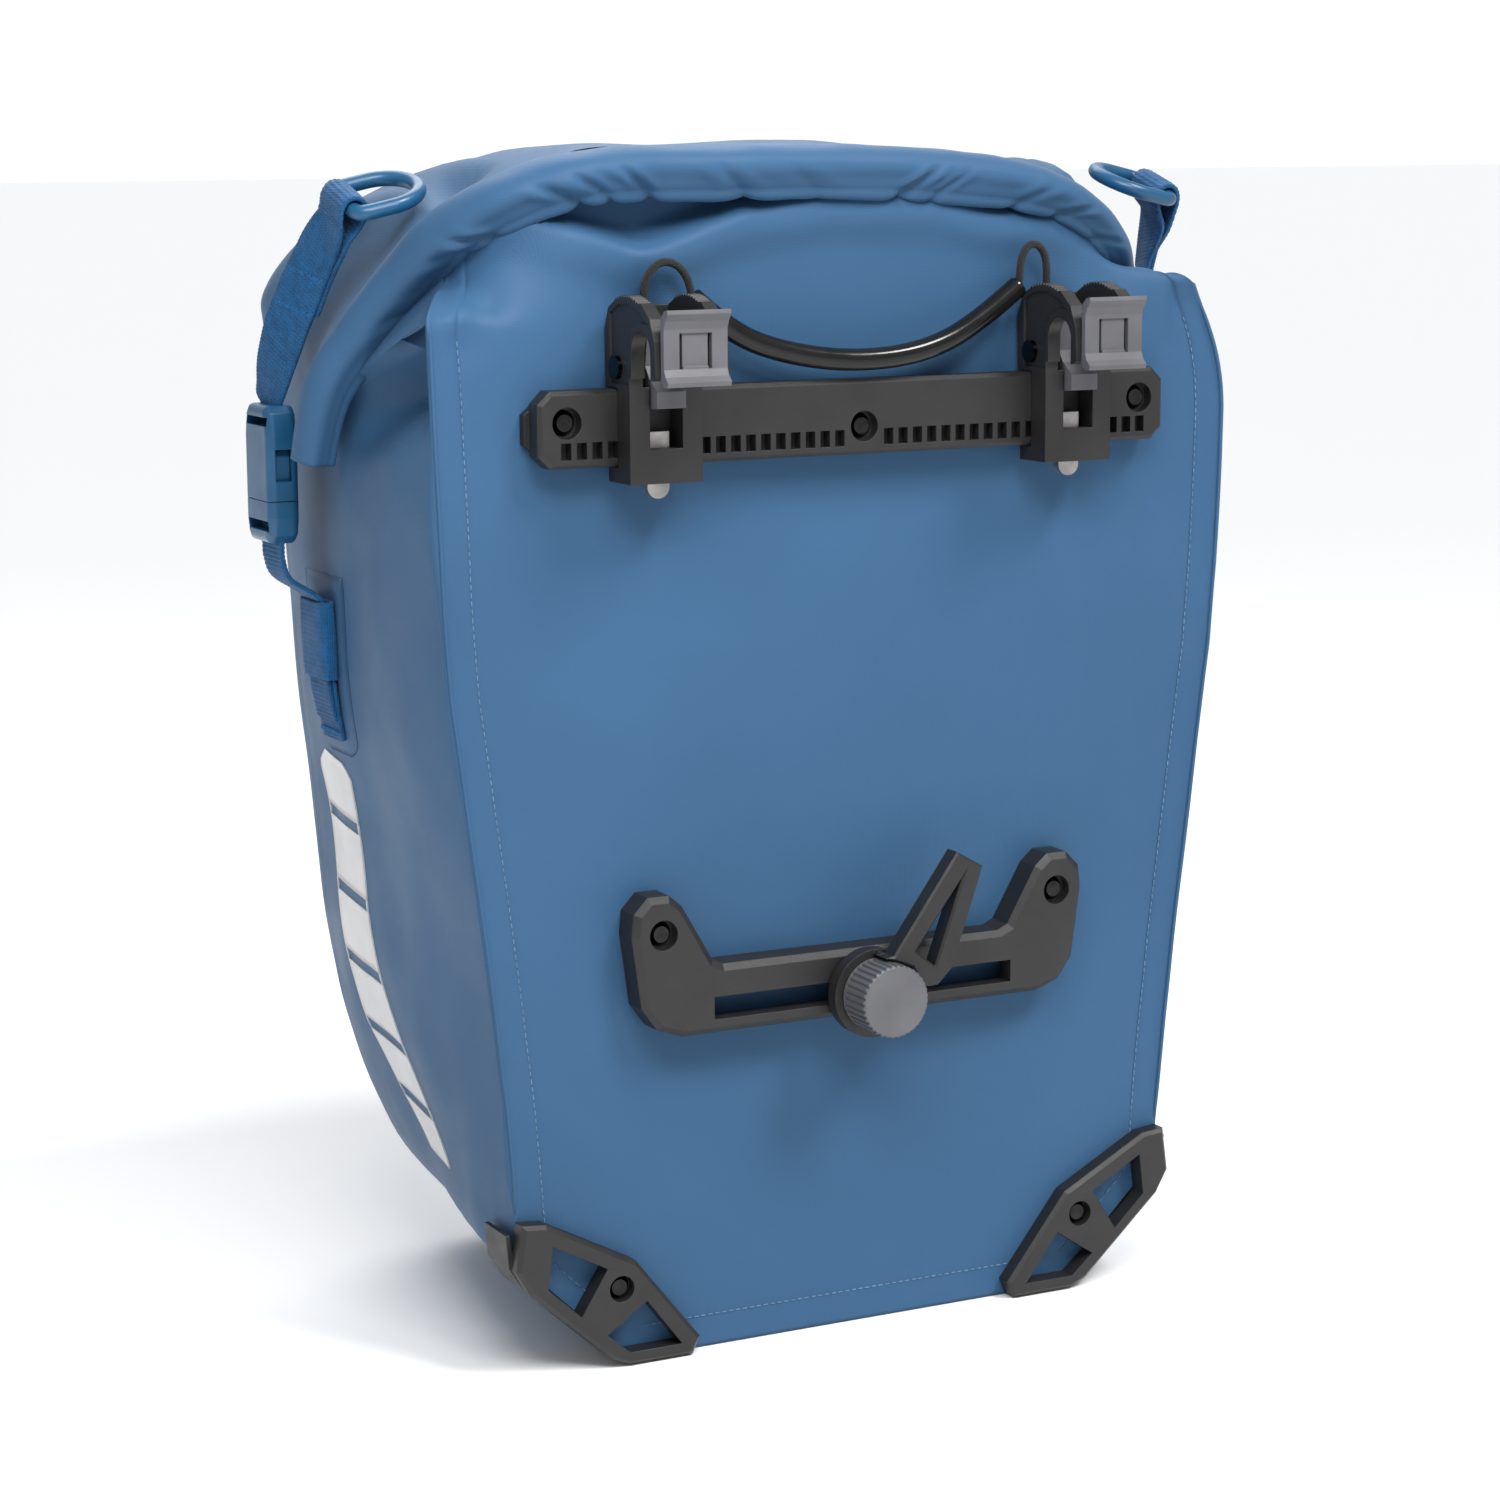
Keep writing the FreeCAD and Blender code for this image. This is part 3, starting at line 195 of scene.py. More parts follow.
# ---- materials
class Paint:
    """A Principled material with small helpers for its procedural nodes."""
    NOISE_LOW, NOISE_HIGH = 0.3, 0.7

    def __init__(self, name, color, roughness, metallic=0.0, **sockets):
        self.material = bpy.data.materials.new(name)
        self.material.use_nodes = True
        self.tree = self.material.node_tree
        self.shader = self.tree.nodes["Principled BSDF"]
        sockets.update(Base_Color=(*color, 1), Roughness=roughness, Metallic=metallic)
        for key, value in sockets.items():
            self.shader.inputs[key.replace("_", " ")].default_value = value
        self.normal = None
        self.coordinates = self.add("ShaderNodeTexCoord").outputs["Object"]
        self.base = color

    def add(self, kind, inputs=(), **settings):
        """A new node of a kind, with its properties and some inputs set."""
        made = self.tree.nodes.new(kind)
        for key, value in settings.items():
            setattr(made, key, value)
        for key, value in dict(inputs).items():
            made.inputs[key].default_value = value
        return made

    def link(self, start, end):
        self.tree.links.new(start, end)

    def math(self, operation, first, second=None, third=None):
        """A maths node fed by sockets or numbers."""
        step = self.add("ShaderNodeMath", operation=operation)
        for socket, value in zip(step.inputs, (first, second, third)):
            if value is None:
                continue
            if hasattr(value, "links"):
                self.link(value, socket)
            else:
                socket.default_value = value
        return step.outputs[0]

    def noise(self, scale, detail=3.0, distortion=0.0):
        grain = self.add("ShaderNodeTexNoise", {"Scale": scale, "Detail": detail, "Distortion": distortion})
        self.link(self.coordinates, grain.inputs["Vector"])
        return grain.outputs["Fac"]

    def along(self, direction, pitch):
        """A sine wave along a direction, one turn per pitch in metres."""
        dot = self.add("ShaderNodeVectorMath", operation="DOT_PRODUCT")
        self.link(self.coordinates, dot.inputs[0])
        dot.inputs[1].default_value = [value * math.tau / pitch for value in direction]
        return self.math("SINE", dot.outputs["Value"])

    def crossed(self, first, second, pitch):
        """The weave of two waves, one across the other."""
        return self.math("MULTIPLY", self.along(first, pitch), self.along(second, pitch))

    def spread(self, fac, low, high):
        """Stretch a noise's usual range to run from low to high."""
        span = {"From Min": self.NOISE_LOW, "From Max": self.NOISE_HIGH, "To Min": low, "To Max": high}
        step = self.add("ShaderNodeMapRange", span)
        self.link(fac, step.inputs["Value"])
        return step.outputs["Result"]

    def roughness(self, fac, low, high):
        self.link(self.spread(fac, low, high), self.shader.inputs["Roughness"])

    def tint(self, fac, dark, light):
        """Vary the base colour between two factors of it."""
        ends = {"A": (*[value * dark for value in self.base], 1),
                "B": (*[min(1.0, value * light) for value in self.base], 1)}
        mix = self.add("ShaderNodeMix", ends, data_type="RGBA")
        self.link(self.spread(fac, 0, 1), mix.inputs["Factor"])
        self.link(mix.outputs["Result"], self.shader.inputs["Base Color"])

    def soften(self, radius):
        """Catch the light on every edge as if it were rounded to this radius."""
        self.normal = self.add("ShaderNodeBevel", {"Radius": radius}, samples=4).outputs["Normal"]

    def bump(self, height, distance, strength=1.0):
        node = self.add("ShaderNodeBump", {"Distance": distance, "Strength": strength})
        self.link(height, node.inputs["Height"])
        if self.normal is not None:
            self.link(self.normal, node.inputs["Normal"])
        self.normal = node.outputs["Normal"]
        self.link(self.normal, self.shader.inputs["Normal"])


TWILL_PITCH, BRAID_PITCH, YARN_PITCH = 0.0011, 0.0011, 0.0013
EDGE_ROUND = 0.0006


def fabric_paint():
    """Tarpaulin: a satin film over a fine twill that just shows through."""
    paint = Paint("coated_fabric", (0.038, 0.100, 0.196), 0.46, Sheen_Weight=0.02, Sheen_Roughness=0.4,
                  Specular_IOR_Level=0.35, IOR=1.3)
    twill = paint.crossed((1, 1, 1), (1, 1, -1), TWILL_PITCH)
    paint.bump(paint.noise(60, 4), 0.0002, 0.25)
    paint.bump(twill, 0.00005, 0.55)
    paint.tint(paint.noise(7, 5, distortion=0.4), 0.93, 1.07)
    paint.roughness(paint.noise(30, 4), 0.40, 0.52)
    return paint.material


def webbing_paint(name, color):
    """Ribbed nylon: a chevron of fine yarns on ribs that are modelled."""
    paint = Paint(name, color, 0.62, Sheen_Weight=0.06, Sheen_Roughness=0.35, Specular_IOR_Level=0.3)
    yarn = paint.crossed((0.7, 1, 1.1), (0.7, 1, -1.1), YARN_PITCH)
    paint.bump(paint.noise(900, 2), 0.0001, 0.4)
    paint.bump(yarn, 0.00022, 0.9)
    mottled = paint.math("MULTIPLY_ADD", yarn, 0.12, paint.noise(250, 3))
    paint.tint(mottled, 0.8, 1.22)
    paint.roughness(paint.noise(80, 2), 0.5, 0.7)
    return paint.material


def plastic_paint(name, color, rough, grain, depth):
    """Moulded plastic: a spark-eroded grain, faint flow marks and slightly shinier patches."""
    paint = Paint(name, color, rough)
    paint.soften(EDGE_ROUND)
    paint.bump(paint.noise(grain, 3), depth, 0.6)
    paint.bump(paint.noise(grain * 0.12, 2), depth * 1.5, 0.35)
    paint.tint(paint.noise(45, 5), 0.85, 1.18)
    paint.roughness(paint.noise(70, 4), rough - 0.07, rough + 0.08)
    return paint.material


def metal_paint(name, color, rough, grain):
    """Metal, faintly pitted, its shine uneven."""
    paint = Paint(name, color, rough, 1.0)
    paint.bump(paint.noise(grain, 4), 0.0002, 0.5)
    paint.tint(paint.noise(160, 4), 0.7, 1.2)
    paint.roughness(paint.noise(220, 3), rough - 0.1, rough + 0.12)
    return paint.material


def cord_paint():
    """A black braided cord."""
    paint = Paint("pull_cord", (0.010, 0.010, 0.011), 0.6, Sheen_Weight=0.1, Specular_IOR_Level=0.35)
    braid = paint.crossed((1, 0.5, 1), (-1, 0.5, 1), BRAID_PITCH)
    paint.bump(braid, 0.0003, 0.9)
    paint.tint(braid, 0.6, 2.2)
    paint.roughness(paint.noise(500, 2), 0.5, 0.7)
    return paint.material


def sleeve_paint():
    """A smooth, glossy black tube."""
    paint = Paint("pull_sleeve", (0.006, 0.006, 0.006), 0.16, Specular_IOR_Level=0.35)
    paint.bump(paint.noise(130, 3), 0.0001, 0.3)
    paint.tint(paint.noise(60, 3), 0.8, 1.3)
    paint.roughness(paint.noise(90, 3), 0.12, 0.22)
    return paint.material


def print_paint():
    """Silver reflective film under a printed grain."""
    paint = Paint("reflective_print", (0.55, 0.545, 0.555), 0.42, Coat_Weight=0.2, Coat_Roughness=0.3)
    paint.bump(paint.noise(1400, 2), 0.00003, 0.4)
    paint.tint(paint.noise(25, 4), 0.95, 1.04)
    paint.roughness(paint.noise(120, 3), 0.36, 0.5)
    return paint.material


PAINTS = {
    "coated_fabric": fabric_paint(),
    "webbing": webbing_paint("webbing", (0.004, 0.085, 0.225)),
    "buckle_plastic": plastic_paint("buckle_plastic", (0.009, 0.075, 0.165), 0.34, 900, 0.00003),
    "black_plastic": plastic_paint("black_plastic", (0.0145, 0.0132, 0.0132), 0.45, 1300, 0.00014),
    "grey_plastic": plastic_paint("grey_plastic", (0.10, 0.10, 0.11), 0.46, 1500, 0.00006),
    "black_screw": metal_paint("black_screw", (0.03, 0.03, 0.03), 0.14, 500),
    "steel": metal_paint("steel", (0.42, 0.4, 0.39), 0.42, 1100),
    "pull_sleeve": sleeve_paint(),
    "pull_cord": cord_paint(),
    "reflective_print": print_paint(),
    "board": plastic_paint("board", (0.05, 0.05, 0.055), 0.7, 700, 0.0001),
    "thread": webbing_paint("thread", (0.11, 0.21, 0.34)),
    "webbing_thread": webbing_paint("webbing_thread", (0.006, 0.115, 0.30)),
}


def dress_frame():
    """Give every CAD node the material of its slot."""
    for part in frame["record"]["subparts"]:
        shown = frame["nodes"][part["node"]]
        paint = PAINTS[part["material_slot"]]
        for index in range(len(shown.data.materials)):
            shown.data.materials[index] = paint
        if not shown.data.materials:
            shown.data.materials.append(paint)


# ---- mesh helpers
ROUTE_STEPS = 40
PEBBLE_GAIN = 1.6


def make_piece(name, vertices, faces, paint):
    """A smooth mesh object from row-frame vertices in metres."""
    mesh = bpy.data.meshes.new(name)
    mesh.from_pydata([tuple(v) for v in vertices], [], faces)
    mesh.materials.append(PAINTS[paint])
    mesh.validate()
    mesh.polygons.foreach_set("use_smooth", [True] * len(mesh.polygons))
    mesh.update()
    return placed(name, mesh)


def grid_faces(rows, columns, closed=False, first=0):
    """Quads of a grid of vertices; closed joins the last column to the first."""
    faces = []
    for r in range(rows - 1):
        for c in range(columns if closed else columns - 1):
            d = (c + 1) % columns
            faces.append((first + r * columns + c, first + r * columns + d,
                          first + (r + 1) * columns + d, first + (r + 1) * columns + c))
    return faces


def grid_normals(grid, closed):
    """Unit normals of a grid of points, rows by columns."""
    if closed:
        across = np.roll(grid, -1, axis=1) - np.roll(grid, 1, axis=1)
    else:
        across = np.gradient(grid, axis=1)
    up = np.gradient(grid, axis=0)
    return unit(np.cross(across, up))


def barrel_faces(rings, turns):
    """Quads of a stack of rings, and a face over each end."""
    last = turns * (rings - 1)
    return grid_faces(rings, turns, True) + [tuple(range(turns))[::-1], tuple(range(last, last + turns))]


def tube(spots, side, up, radii, turns):
    """Vertices and faces of a closed tube through spots; side and up span each ring."""
    circle = np.linspace(0, math.tau, turns + 1)[:-1]
    cos, sin = np.cos(circle)[:, None], np.sin(circle)[:, None]
    rings = [spot + (cos * a + sin * b) * radius for spot, a, b, radius in zip(spots, side, up, radii)]
    return np.array(rings).reshape(-1, 3), barrel_faces(len(rings), turns)


def distances(points):
    """How far along a line each of its points lies."""
    return np.concatenate([[0], np.cumsum(np.linalg.norm(np.diff(points, axis=0), axis=1))])


def read_along(places, run, points):
    """Points of a line read at places along its run."""
    return np.stack([np.interp(places, run, column) for column in np.transpose(points)], axis=-1)


def resampled(route, count):
    """Points evenly spaced along a smooth curve through a route, and their distances."""
    route = np.asarray(route, float)
    padded = np.vstack([2 * route[0] - route[1], route, 2 * route[-1] - route[-2]])
    dense = []
    for i in range(len(route) - 1):
        a, b, c, d = padded[i:i + 4]
        for t in np.linspace(0, 1, ROUTE_STEPS, endpoint=False):
            dense.append(0.5 * (2 * b + (c - a) * t + (2 * a - 5 * b + 4 * c - d) * t * t
                                + (3 * b - a - 3 * c + d) * t ** 3))
    dense = np.array(dense + [route[-1]])
    run = distances(dense)
    even = np.linspace(0, run[-1], count)
    return read_along(even, run, dense), even


def pebble(points, scale, seed):
    """Smooth noise at an array of panel-frame points, about -1 to 1."""
    shift = Vector((seed * 7.3, seed * 3.1, seed * 5.7))
    flat = points.reshape(-1, 3)
    values = [noise.noise(Vector(p) / scale + shift) for p in flat]
    return np.array(values).reshape(points.shape[:-1]) * PEBBLE_GAIN


# ---- the roll's line
ROLL_ROUTE = ((-193, 77, 352), (-189, 71, 379), (-177, 63, 401), (-165, 50, 421), (-155, 34, 437),
              (-138, 16, 451), (-112, 5, 460), (-80, 2, 462), (-27, 1, 461.5), (7, 1, 461), (43, 1, 459),
              (80, 3, 454.0), (106, 8, 445.5), (126, 18, 433), (142, 35, 418), (157, 50, 403), (172, 62, 387),
              (184, 71, 371), (190, 77, 352))
ROLL_STEPS = 460
ROLL_WIDE, ROLL_TALL = 13.5, 9.8
roll_line, roll_run = resampled(ROLL_ROUTE, ROLL_STEPS)
ROLL_HALF = roll_run[-1] / 2
roll_run = roll_run - ROLL_HALF
roll_way = unit(np.gradient(roll_line, axis=0))
roll_far = unit(np.array([0.0, 1.0, 0.0]) - roll_way * roll_way[:, 1:2])
roll_up = np.cross(roll_way, roll_far)


def on_roll(s, angle, reach):
    """Points beside the roll's line: s along it from its middle, angle round it from the road side."""
    s = np.asarray(s, float)
    middle, far, up = (read_along(s, roll_run, data) for data in (roll_line, roll_far, roll_up))
    angle = np.radians(angle)
    wide, tall = roll_axes(s)
    offset = far * (np.cos(angle) * wide)[..., None] + up * (np.sin(angle) * tall)[..., None]
    return middle + offset * np.asarray(reach, float)[..., None]


def roll_axes(s):
    """Half width and half height of the roll's section, slimmer to its ends and to the right."""
    droop = smoothstep(np.abs(s), 120, 230)
    right = smoothstep(s, 60, 140)
    left = 1 - 0.2 * smoothstep(-s, 212, 264)
    return (ROLL_WIDE - 2.7 * droop) * left, (ROLL_TALL - 0.3 * droop - 1.9 * right) * left


# ---- bag fabric
PANEL_EDGE = ((0, 98), (3, 101.5), (44, 143.5), (50, 146), (61, 146.8), (110, 150.6), (150, 154.9),
              (190, 159.8), (229, 165), (267, 170), (300, 172.2), (342, 173.8), (405, 175.5), (420, 176))
ROAD_EDGE = ((0, 76), (14, 96), (32, 114), (51, 128), (88, 143), (115, 152), (150, 158), (193, 162.5),
             (222, 164.5), (252, 167), (289, 170), (314, 171.5), (363, 175), (385, 178), (410, 179.5))
ROAD_DEPTH = ((0, 166), (6, 178), (16, 186), (35, 191), (80, 194), (410, 194))
SIDE_BULGE = ((0, 0), (60, 3), (150, 5.5), (250, 6.5), (340, 6), (400, 3))
CORNER_ROUND = 30.0
RIDGE = ((0, 408), (20, 401.5), (50, 391.5), (77, 379), (95, 356), (118, 372), (145, 398), (166, 406),
         (200, 407))
PANEL_HALF, SIDE_MIDDLE = 175.5, 95.0
SHEET_HALF = PANEL_HALF + SIDE_MIDDLE
BEYOND_RUN, CORNER_RUN = 69.0, 47.0
SEAM_INSET = 12.6
BAND = (0.0, 0.7, 1.5, 3.0, 6.0, 9.5, 11.6, 12.3, 13.0, 13.7, 16.0)
CREASE_LINE = ((-176, 442), (-160, 446), (-139, 447), (-116, 440), (-88, 431), (-48, 445), (-13, 450.5),
               (34, 450.5), (64, 443), (101, 441), (140, 430), (176, 424))
PANEL_FOLDS = (
    # from x, z to x, z; width; depth towards the bag
    (-168, 436, -149, 416, 7, 2.6), (-149, 416, -158, 400, 8, 1.8), (-158, 400, -150, 360, 12, 0.8),
    (-139, 447, -88, 431, 5, -1.6), (-88, 431, -48, 445, 6, -1.2), (-120, 425, -105, 395, 14, -1.4),
    (-40, 430, -20, 395, 22, 1.0), (40, 432, 55, 398, 20, -1.2), (110, 430, 120, 398, 12, 1.2),
    (140, 420, 150, 398, 8, -1.2), (163, 412, 152, 392, 6, 1.5),
    (30, 345, 10, 230, 12, 0.45), (62, 340, 48, 200, 9, 0.5), (88, 335, 84, 210, 8, 0.45),
    (110, 335, 112, 180, 8, 0.5),
    (132, 335, 136, 200, 7, 0.4), (-70, 345, -84, 260, 16, 0.35), (-120, 340, -118, 240, 14, 0.4),
    (-40, 120, -20, 30, 18, 0.4), (60, 120, 70, 30, 14, 0.5),
)


def section(z):
    """The panel's half width, the road side's half width and the depth, at heights."""
    return table(z, PANEL_EDGE, 1, 2.0), table(z, ROAD_EDGE, 1, 8.0), table(z, ROAD_DEPTH, 1, 2.0)


def bag_columns():
    """Parameters of the columns round the bag: (zone, value, side)."""
    wall = [("near", y / SIDE_MIDDLE) for y in (0.6, 1.4, 3, 6, 10, *np.linspace(15, SIDE_MIDDLE, 24))]
    wall += [("beyond", value) for value in np.linspace(0, 1, 20)[1:]]
    wall += [("corner", value) for value in np.linspace(0, 1, 13)[1:]]
    columns = [("band", value, -1) for value in BAND]
    columns += [("panel", value, 0) for value in np.linspace(0, 1, 78)[1:-1]]
    columns += [("band", value, 1) for value in BAND[::-1]]
    columns += [(*spot, 1) for spot in wall]
    columns += [("road", value, 0) for value in np.linspace(0, 1, 62)[1:-1]]
    return columns + [(*spot, -1) for spot in wall[::-1]]


def outline(zone, value, side, z):
    """A column's points at heights z, as x and y."""
    panel, road, depth = section(z)
    straight = depth - CORNER_ROUND
    if zone == "band":
        return side * (panel - value), 0 * z
    if zone == "panel":
        return (panel - BAND[-1]) * (2 * value - 1), 0 * z
    if zone in ("near", "beyond"):
        y = value * SIDE_MIDDLE if zone == "near" else SIDE_MIDDLE + value * (straight - SIDE_MIDDLE)
        part = y / straight
        x = panel + (road - panel) * smoothstep(part, 0.1, 1.0)
        bulge = table(z, SIDE_BULGE, 1, 10.0)
        return side * (x + bulge * np.sin(math.pi * part) ** 0.8), y + 0 * z
    if zone == "corner":
        turn = value * math.pi / 2
        return side * (road - CORNER_ROUND * (1 - math.cos(turn))), straight + CORNER_ROUND * math.sin(turn)
    across = 1 - 2 * value
    return (road - CORNER_ROUND) * across, depth + 4.0 * (1 - across * across) * smoothstep(z, 0, 60)


# where a side column's reach starts and how it grows with the column's value
SIDE_RUNS = {"band": (PANEL_HALF, -1), "near": (PANEL_HALF, SIDE_MIDDLE), "beyond": (SHEET_HALF, -BEYOND_RUN),
             "corner": (SHEET_HALF - BEYOND_RUN, -CORNER_RUN)}
ACROSS_RUNS = {"panel": PANEL_HALF - BAND[-1], "road": BEYOND_RUN + CORNER_RUN - SHEET_HALF}


def column_reach(zone, value, side):
    """How far round from the middle of its sheet a column lies."""
    if not side:
        return ACROSS_RUNS[zone] * (2 * value - 1)
    start, run = SIDE_RUNS[zone]
    return side * (start + value * run)


BODY_TOP = 330
BODY_HEIGHTS = [0, 1.5, 4, 8, 13, 18, 24, 30, 36, 41, 45, 49, 54, 60, *np.linspace(67, BODY_TOP, 44)]
RIDGE_ROWS, TOP_ROWS = 20, 34
WALL_HEIGHT = 380.0
POCKET_DEPTH = 25.0
NEAR_ANGLE, FAR_ANGLE = -105, 70
NEAR_CREST, FAR_CREST = 0.72, 0.9


def bezier(a, b, c, d, t):
    t = t[:, None]
    return a * (1 - t) ** 3 + 3 * b * t * (1 - t) ** 2 + 3 * c * t * t * (1 - t) + d * t ** 3


def body_column(zone, value, side, reach):
    """A column's points from the base up to the ridge that the top springs from."""
    depth = 0.0
    if zone in ("band", "panel"):
        ridge = 408.0 - 8.0 * smoothstep(175 - abs(reach), 0, 60) + 6.0 * smoothstep(reach, 120, 165)
    else:
        depth = float(outline(zone, value, side, np.array([WALL_HEIGHT]))[1][0])
        ridge = float(table(depth, RIDGE, 1, 2.5))
    z = np.array([*BODY_HEIGHTS, *np.linspace(BODY_TOP, ridge, RIDGE_ROWS + 1)[1:]])
    x, y = outline(zone, value, side, z)
    if zone == "near":
        # the side wall tucks in below the ridge that runs from the panel's tip
        below = ridge - z
        tuck = bell(below, 15, 14) * smoothstep(below, -1, 4)
        x = x - side * tuck * POCKET_DEPTH * smoothstep(depth, 0, 7) * (1 - smoothstep(depth, 38, 88))
    return np.stack([x, y, z], axis=1)


def top_column(foot, reach, rack_side):
    """A column's points from the ridge up to the roll, on its rack side or its road side."""
    spin = abs(reach) / SHEET_HALF
    end = smoothstep(spin, 0.86, 1.0)
    s = np.clip(reach * ROLL_HALF / (SHEET_HALF + 8), -ROLL_HALF, ROLL_HALF)
    if rack_side:
        crest = on_roll(s, NEAR_ANGLE + 70 * end, NEAR_CREST)
        span = np.linalg.norm(crest - foot)
        lean = smoothstep(abs(reach), 150, 178) * (0.35 if reach > 0 else 1.0)
        b = foot + np.array([0, 0, 0.34 * span * (1 - lean)]) + (crest - foot) * 0.3 * lean
        c = crest + np.array([0, 0, -0.30 * span * (1 - 0.5 * lean)])
    else:
        crest = on_roll(s, FAR_ANGLE - 26 * smoothstep(spin, 0.5, 0.8) - 60 * end, FAR_CREST)
        span = np.linalg.norm(crest - foot)
        away, rise = read_along(s, roll_run, roll_far), read_along(s, roll_run, roll_up)
        b = foot + np.array([0, 0, 6 + 66 * (1 - smoothstep(spin, 0.35, 0.84))])
        c = crest + away * (0.42 * span + 4) - rise * (5 * smoothstep(spin, 0.6, 0.85))
        # on the right the top stays up where the roll droops
        prop = smoothstep(reach / SHEET_HALF, 0.5, 0.66) * (1 - smoothstep(reach / SHEET_HALF, 0.9, 1.0))
        b = b + prop * np.array([4.0, 0, 12.0])
        c = c + prop * np.array([4.0, 0, 20.0])
    return bezier(foot, b, c, crest, np.linspace(0, 1, TOP_ROWS + 1)[1:])


def bag_grid():
    """Points of the bag fabric, rows from the base's edge up to the roll, columns round it."""
    columns = bag_columns()
    grid = []
    for zone, value, side in columns:
        reach = column_reach(zone, value, side)
        body = body_column(zone, value, side, reach)
        grid.append(np.vstack([body, top_column(body[-1], reach, zone in ("band", "panel", "near"))]))
    return np.stack(grid, axis=1), columns


def segment_distance(x, z, fold):
    """How far points of the panel lie from a fold's line."""
    ax, az, bx, bz = fold[:4]
    run = np.array([bx - ax, bz - az])
    t = np.clip(((x - ax) * run[0] + (z - az) * run[1]) / (run @ run), 0, 1)
    return np.hypot(x - ax - t * run[0], z - az - t * run[1])


def in_panel(columns):
    return np.array([column[0] in ("band", "panel") for column in columns])[None, :]


def fabric_relief(grid, columns):
    """How far the fabric stands off its plain form, along the normal, in millimetres."""
    x, z = grid[..., 0], grid[..., 2]
    front = in_panel(columns)
    edge = np.array([c[1] if c[0] == "band" else 99.0 for c in columns])[None, :]
    # welded band along the panel's edge, with its seam
    band = 0.7 * (1 - smoothstep(edge, 12.0, 13.2)) + 0.9 * bell(edge, 0.8, 0.8)
    band -= 0.35 * bell(edge, SEAM_INSET, 0.7)
    relief = front * band * smoothstep(z, 1, 8)
    for fold in PANEL_FOLDS:
        relief -= front * fold[5] * bell(segment_distance(x, z, fold), 0, fold[4])
    for upright, scale, seed, stiff, loose in ((1, 70, 1, 0.5, 2.2), (0.45, 24, 2, 0.22, 0.5)):
        waves = pebble(grid * np.array([1, 1, upright]), scale, seed)
        relief += waves * np.where(front, stiff, loose) * smoothstep(z, 10, 60)
    under_guard = (1 - smoothstep(z, 60, 85)) * (1 - smoothstep(grid[..., 1], 22, 45))
    return relief * (1 - under_guard) - 1.0 * under_guard * ~front


SHOULDER_REACH = 19.0
RING_ROOM = 6.0
RING_RISE, RING_LEAN = 0.236, 0.313
BASE_SHARES, BASE_MIDDLE = (0.45, 0.75, 0.9, 0.97), 90


def shoulder(x, y, z):
    """How far in the right tip is pressed over into a round shoulder."""
    rise = np.clip((z - 360) / 56, 0, 1.15) ** 2
    return SHOULDER_REACH * rise * smoothstep(x, 135, 176) * (1 - smoothstep(y, 6, 40))


def drop_above_crease(grid, front):
    """Above its crease the rack-side sheet drops back into the shade of the roll."""
    x, z = grid[..., 0], grid[..., 2]
    above = z - table(x, CREASE_LINE, 1, 6.0)
    hollow = 13.0 * smoothstep(above, -1, 9) - 2.8 * bell(above, -7, 8) * smoothstep(z, 395, 415)
    grid[..., 1] += front * hollow


def settle_under_rings(grid):
    """The top sinks under the closure straps and their rings."""
    x, deep, z = grid[..., 0], grid[..., 1], grid[..., 2]
    side = np.abs(x)
    limit = RING_BAR[2] - RING_ROOM + RING_RISE * (RING_BAR[0] - side)
    limit += RING_LEAN * (np.clip(deep, 40, 95) - RING_BAR[1])
    over = z - limit
    sink = 0.5 * (over + np.sqrt(over * over + 9.0)) * smoothstep(side, 128, 146) * (z > 350)
    z -= sink * smoothstep(deep, 30, 45) * (1 - smoothstep(deep, 84, 112))
    # and on the right, where the roll droops, it stands up to meet the ring from below
    from_roll = np.arange(len(grid))[::-1, None]
    rest = limit - 0.4 - 2.6 * np.clip(side - 170, 0, 30)
    short = np.clip(rest - z, 0, 40) * smoothstep(z - rest, -58, -28)
    beneath = smoothstep(x, 104, 142) * (1 - smoothstep(x, 157, 173)) * smoothstep(from_roll, 0, 7)
    z += short * beneath * smoothstep(deep, 32, 46) * (1 - smoothstep(deep, 92, 160))


def base_rings(ring):
    """The base, drawn in towards its middle line from the bag's lowest ring."""
    rings = []
    for part in BASE_SHARES:
        inner = ring.copy()
        inner[:, 0] *= part
        inner[:, 1] = BASE_MIDDLE + (ring[:, 1] - BASE_MIDDLE) * part
        rings.append(inner)
    return np.stack(rings)


def make_bag_fabric():
    grid, columns = bag_grid()
    grid = grid + grid_normals(grid, True) * fabric_relief(grid, columns)[..., None]
    drop_above_crease(grid, in_panel(columns))
    settle_under_rings(grid)
    grid[..., 0] -= shoulder(*(grid[..., k] for k in range(3)))
    grid[..., 2] = np.maximum(grid[..., 2], 0.0)
    everything = np.concatenate([base_rings(grid[0]), grid])
    count = everything.shape[1]
    faces = grid_faces(len(everything), count, True)
    faces.append(tuple(range(count))[::-1])
    vertices = rows_at(everything)
    piece = make_piece("bag_fabric", vertices, faces, "coated_fabric")
    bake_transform(piece)
    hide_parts("back_panel", "bag_shell", "collar")
    return BVHTree.FromPolygons([tuple(v) for v in vertices], faces)


# ---- roll fabric
TUCKS = (
    # along the roll, width, depth
    (-190, 14, 1.2), (-152, 9, 2.0), (-139, 6, 4.2), (-104, 7, 3.4), (-92, 5, 2.2), (-76, 6, 2.6),
    (-37, 10, 1.8),
    (-6, 14, 1.0), (31, 6, 3.6), (45, 5, 1.6), (84, 7, 2.2), (106, 6, 3.0), (131, 6, 2.0), (168, 12, 1.6))

TUCK_ANGLE, TUCK_SLANT = 246, 0.16
ROLL_TURNS = 2.3


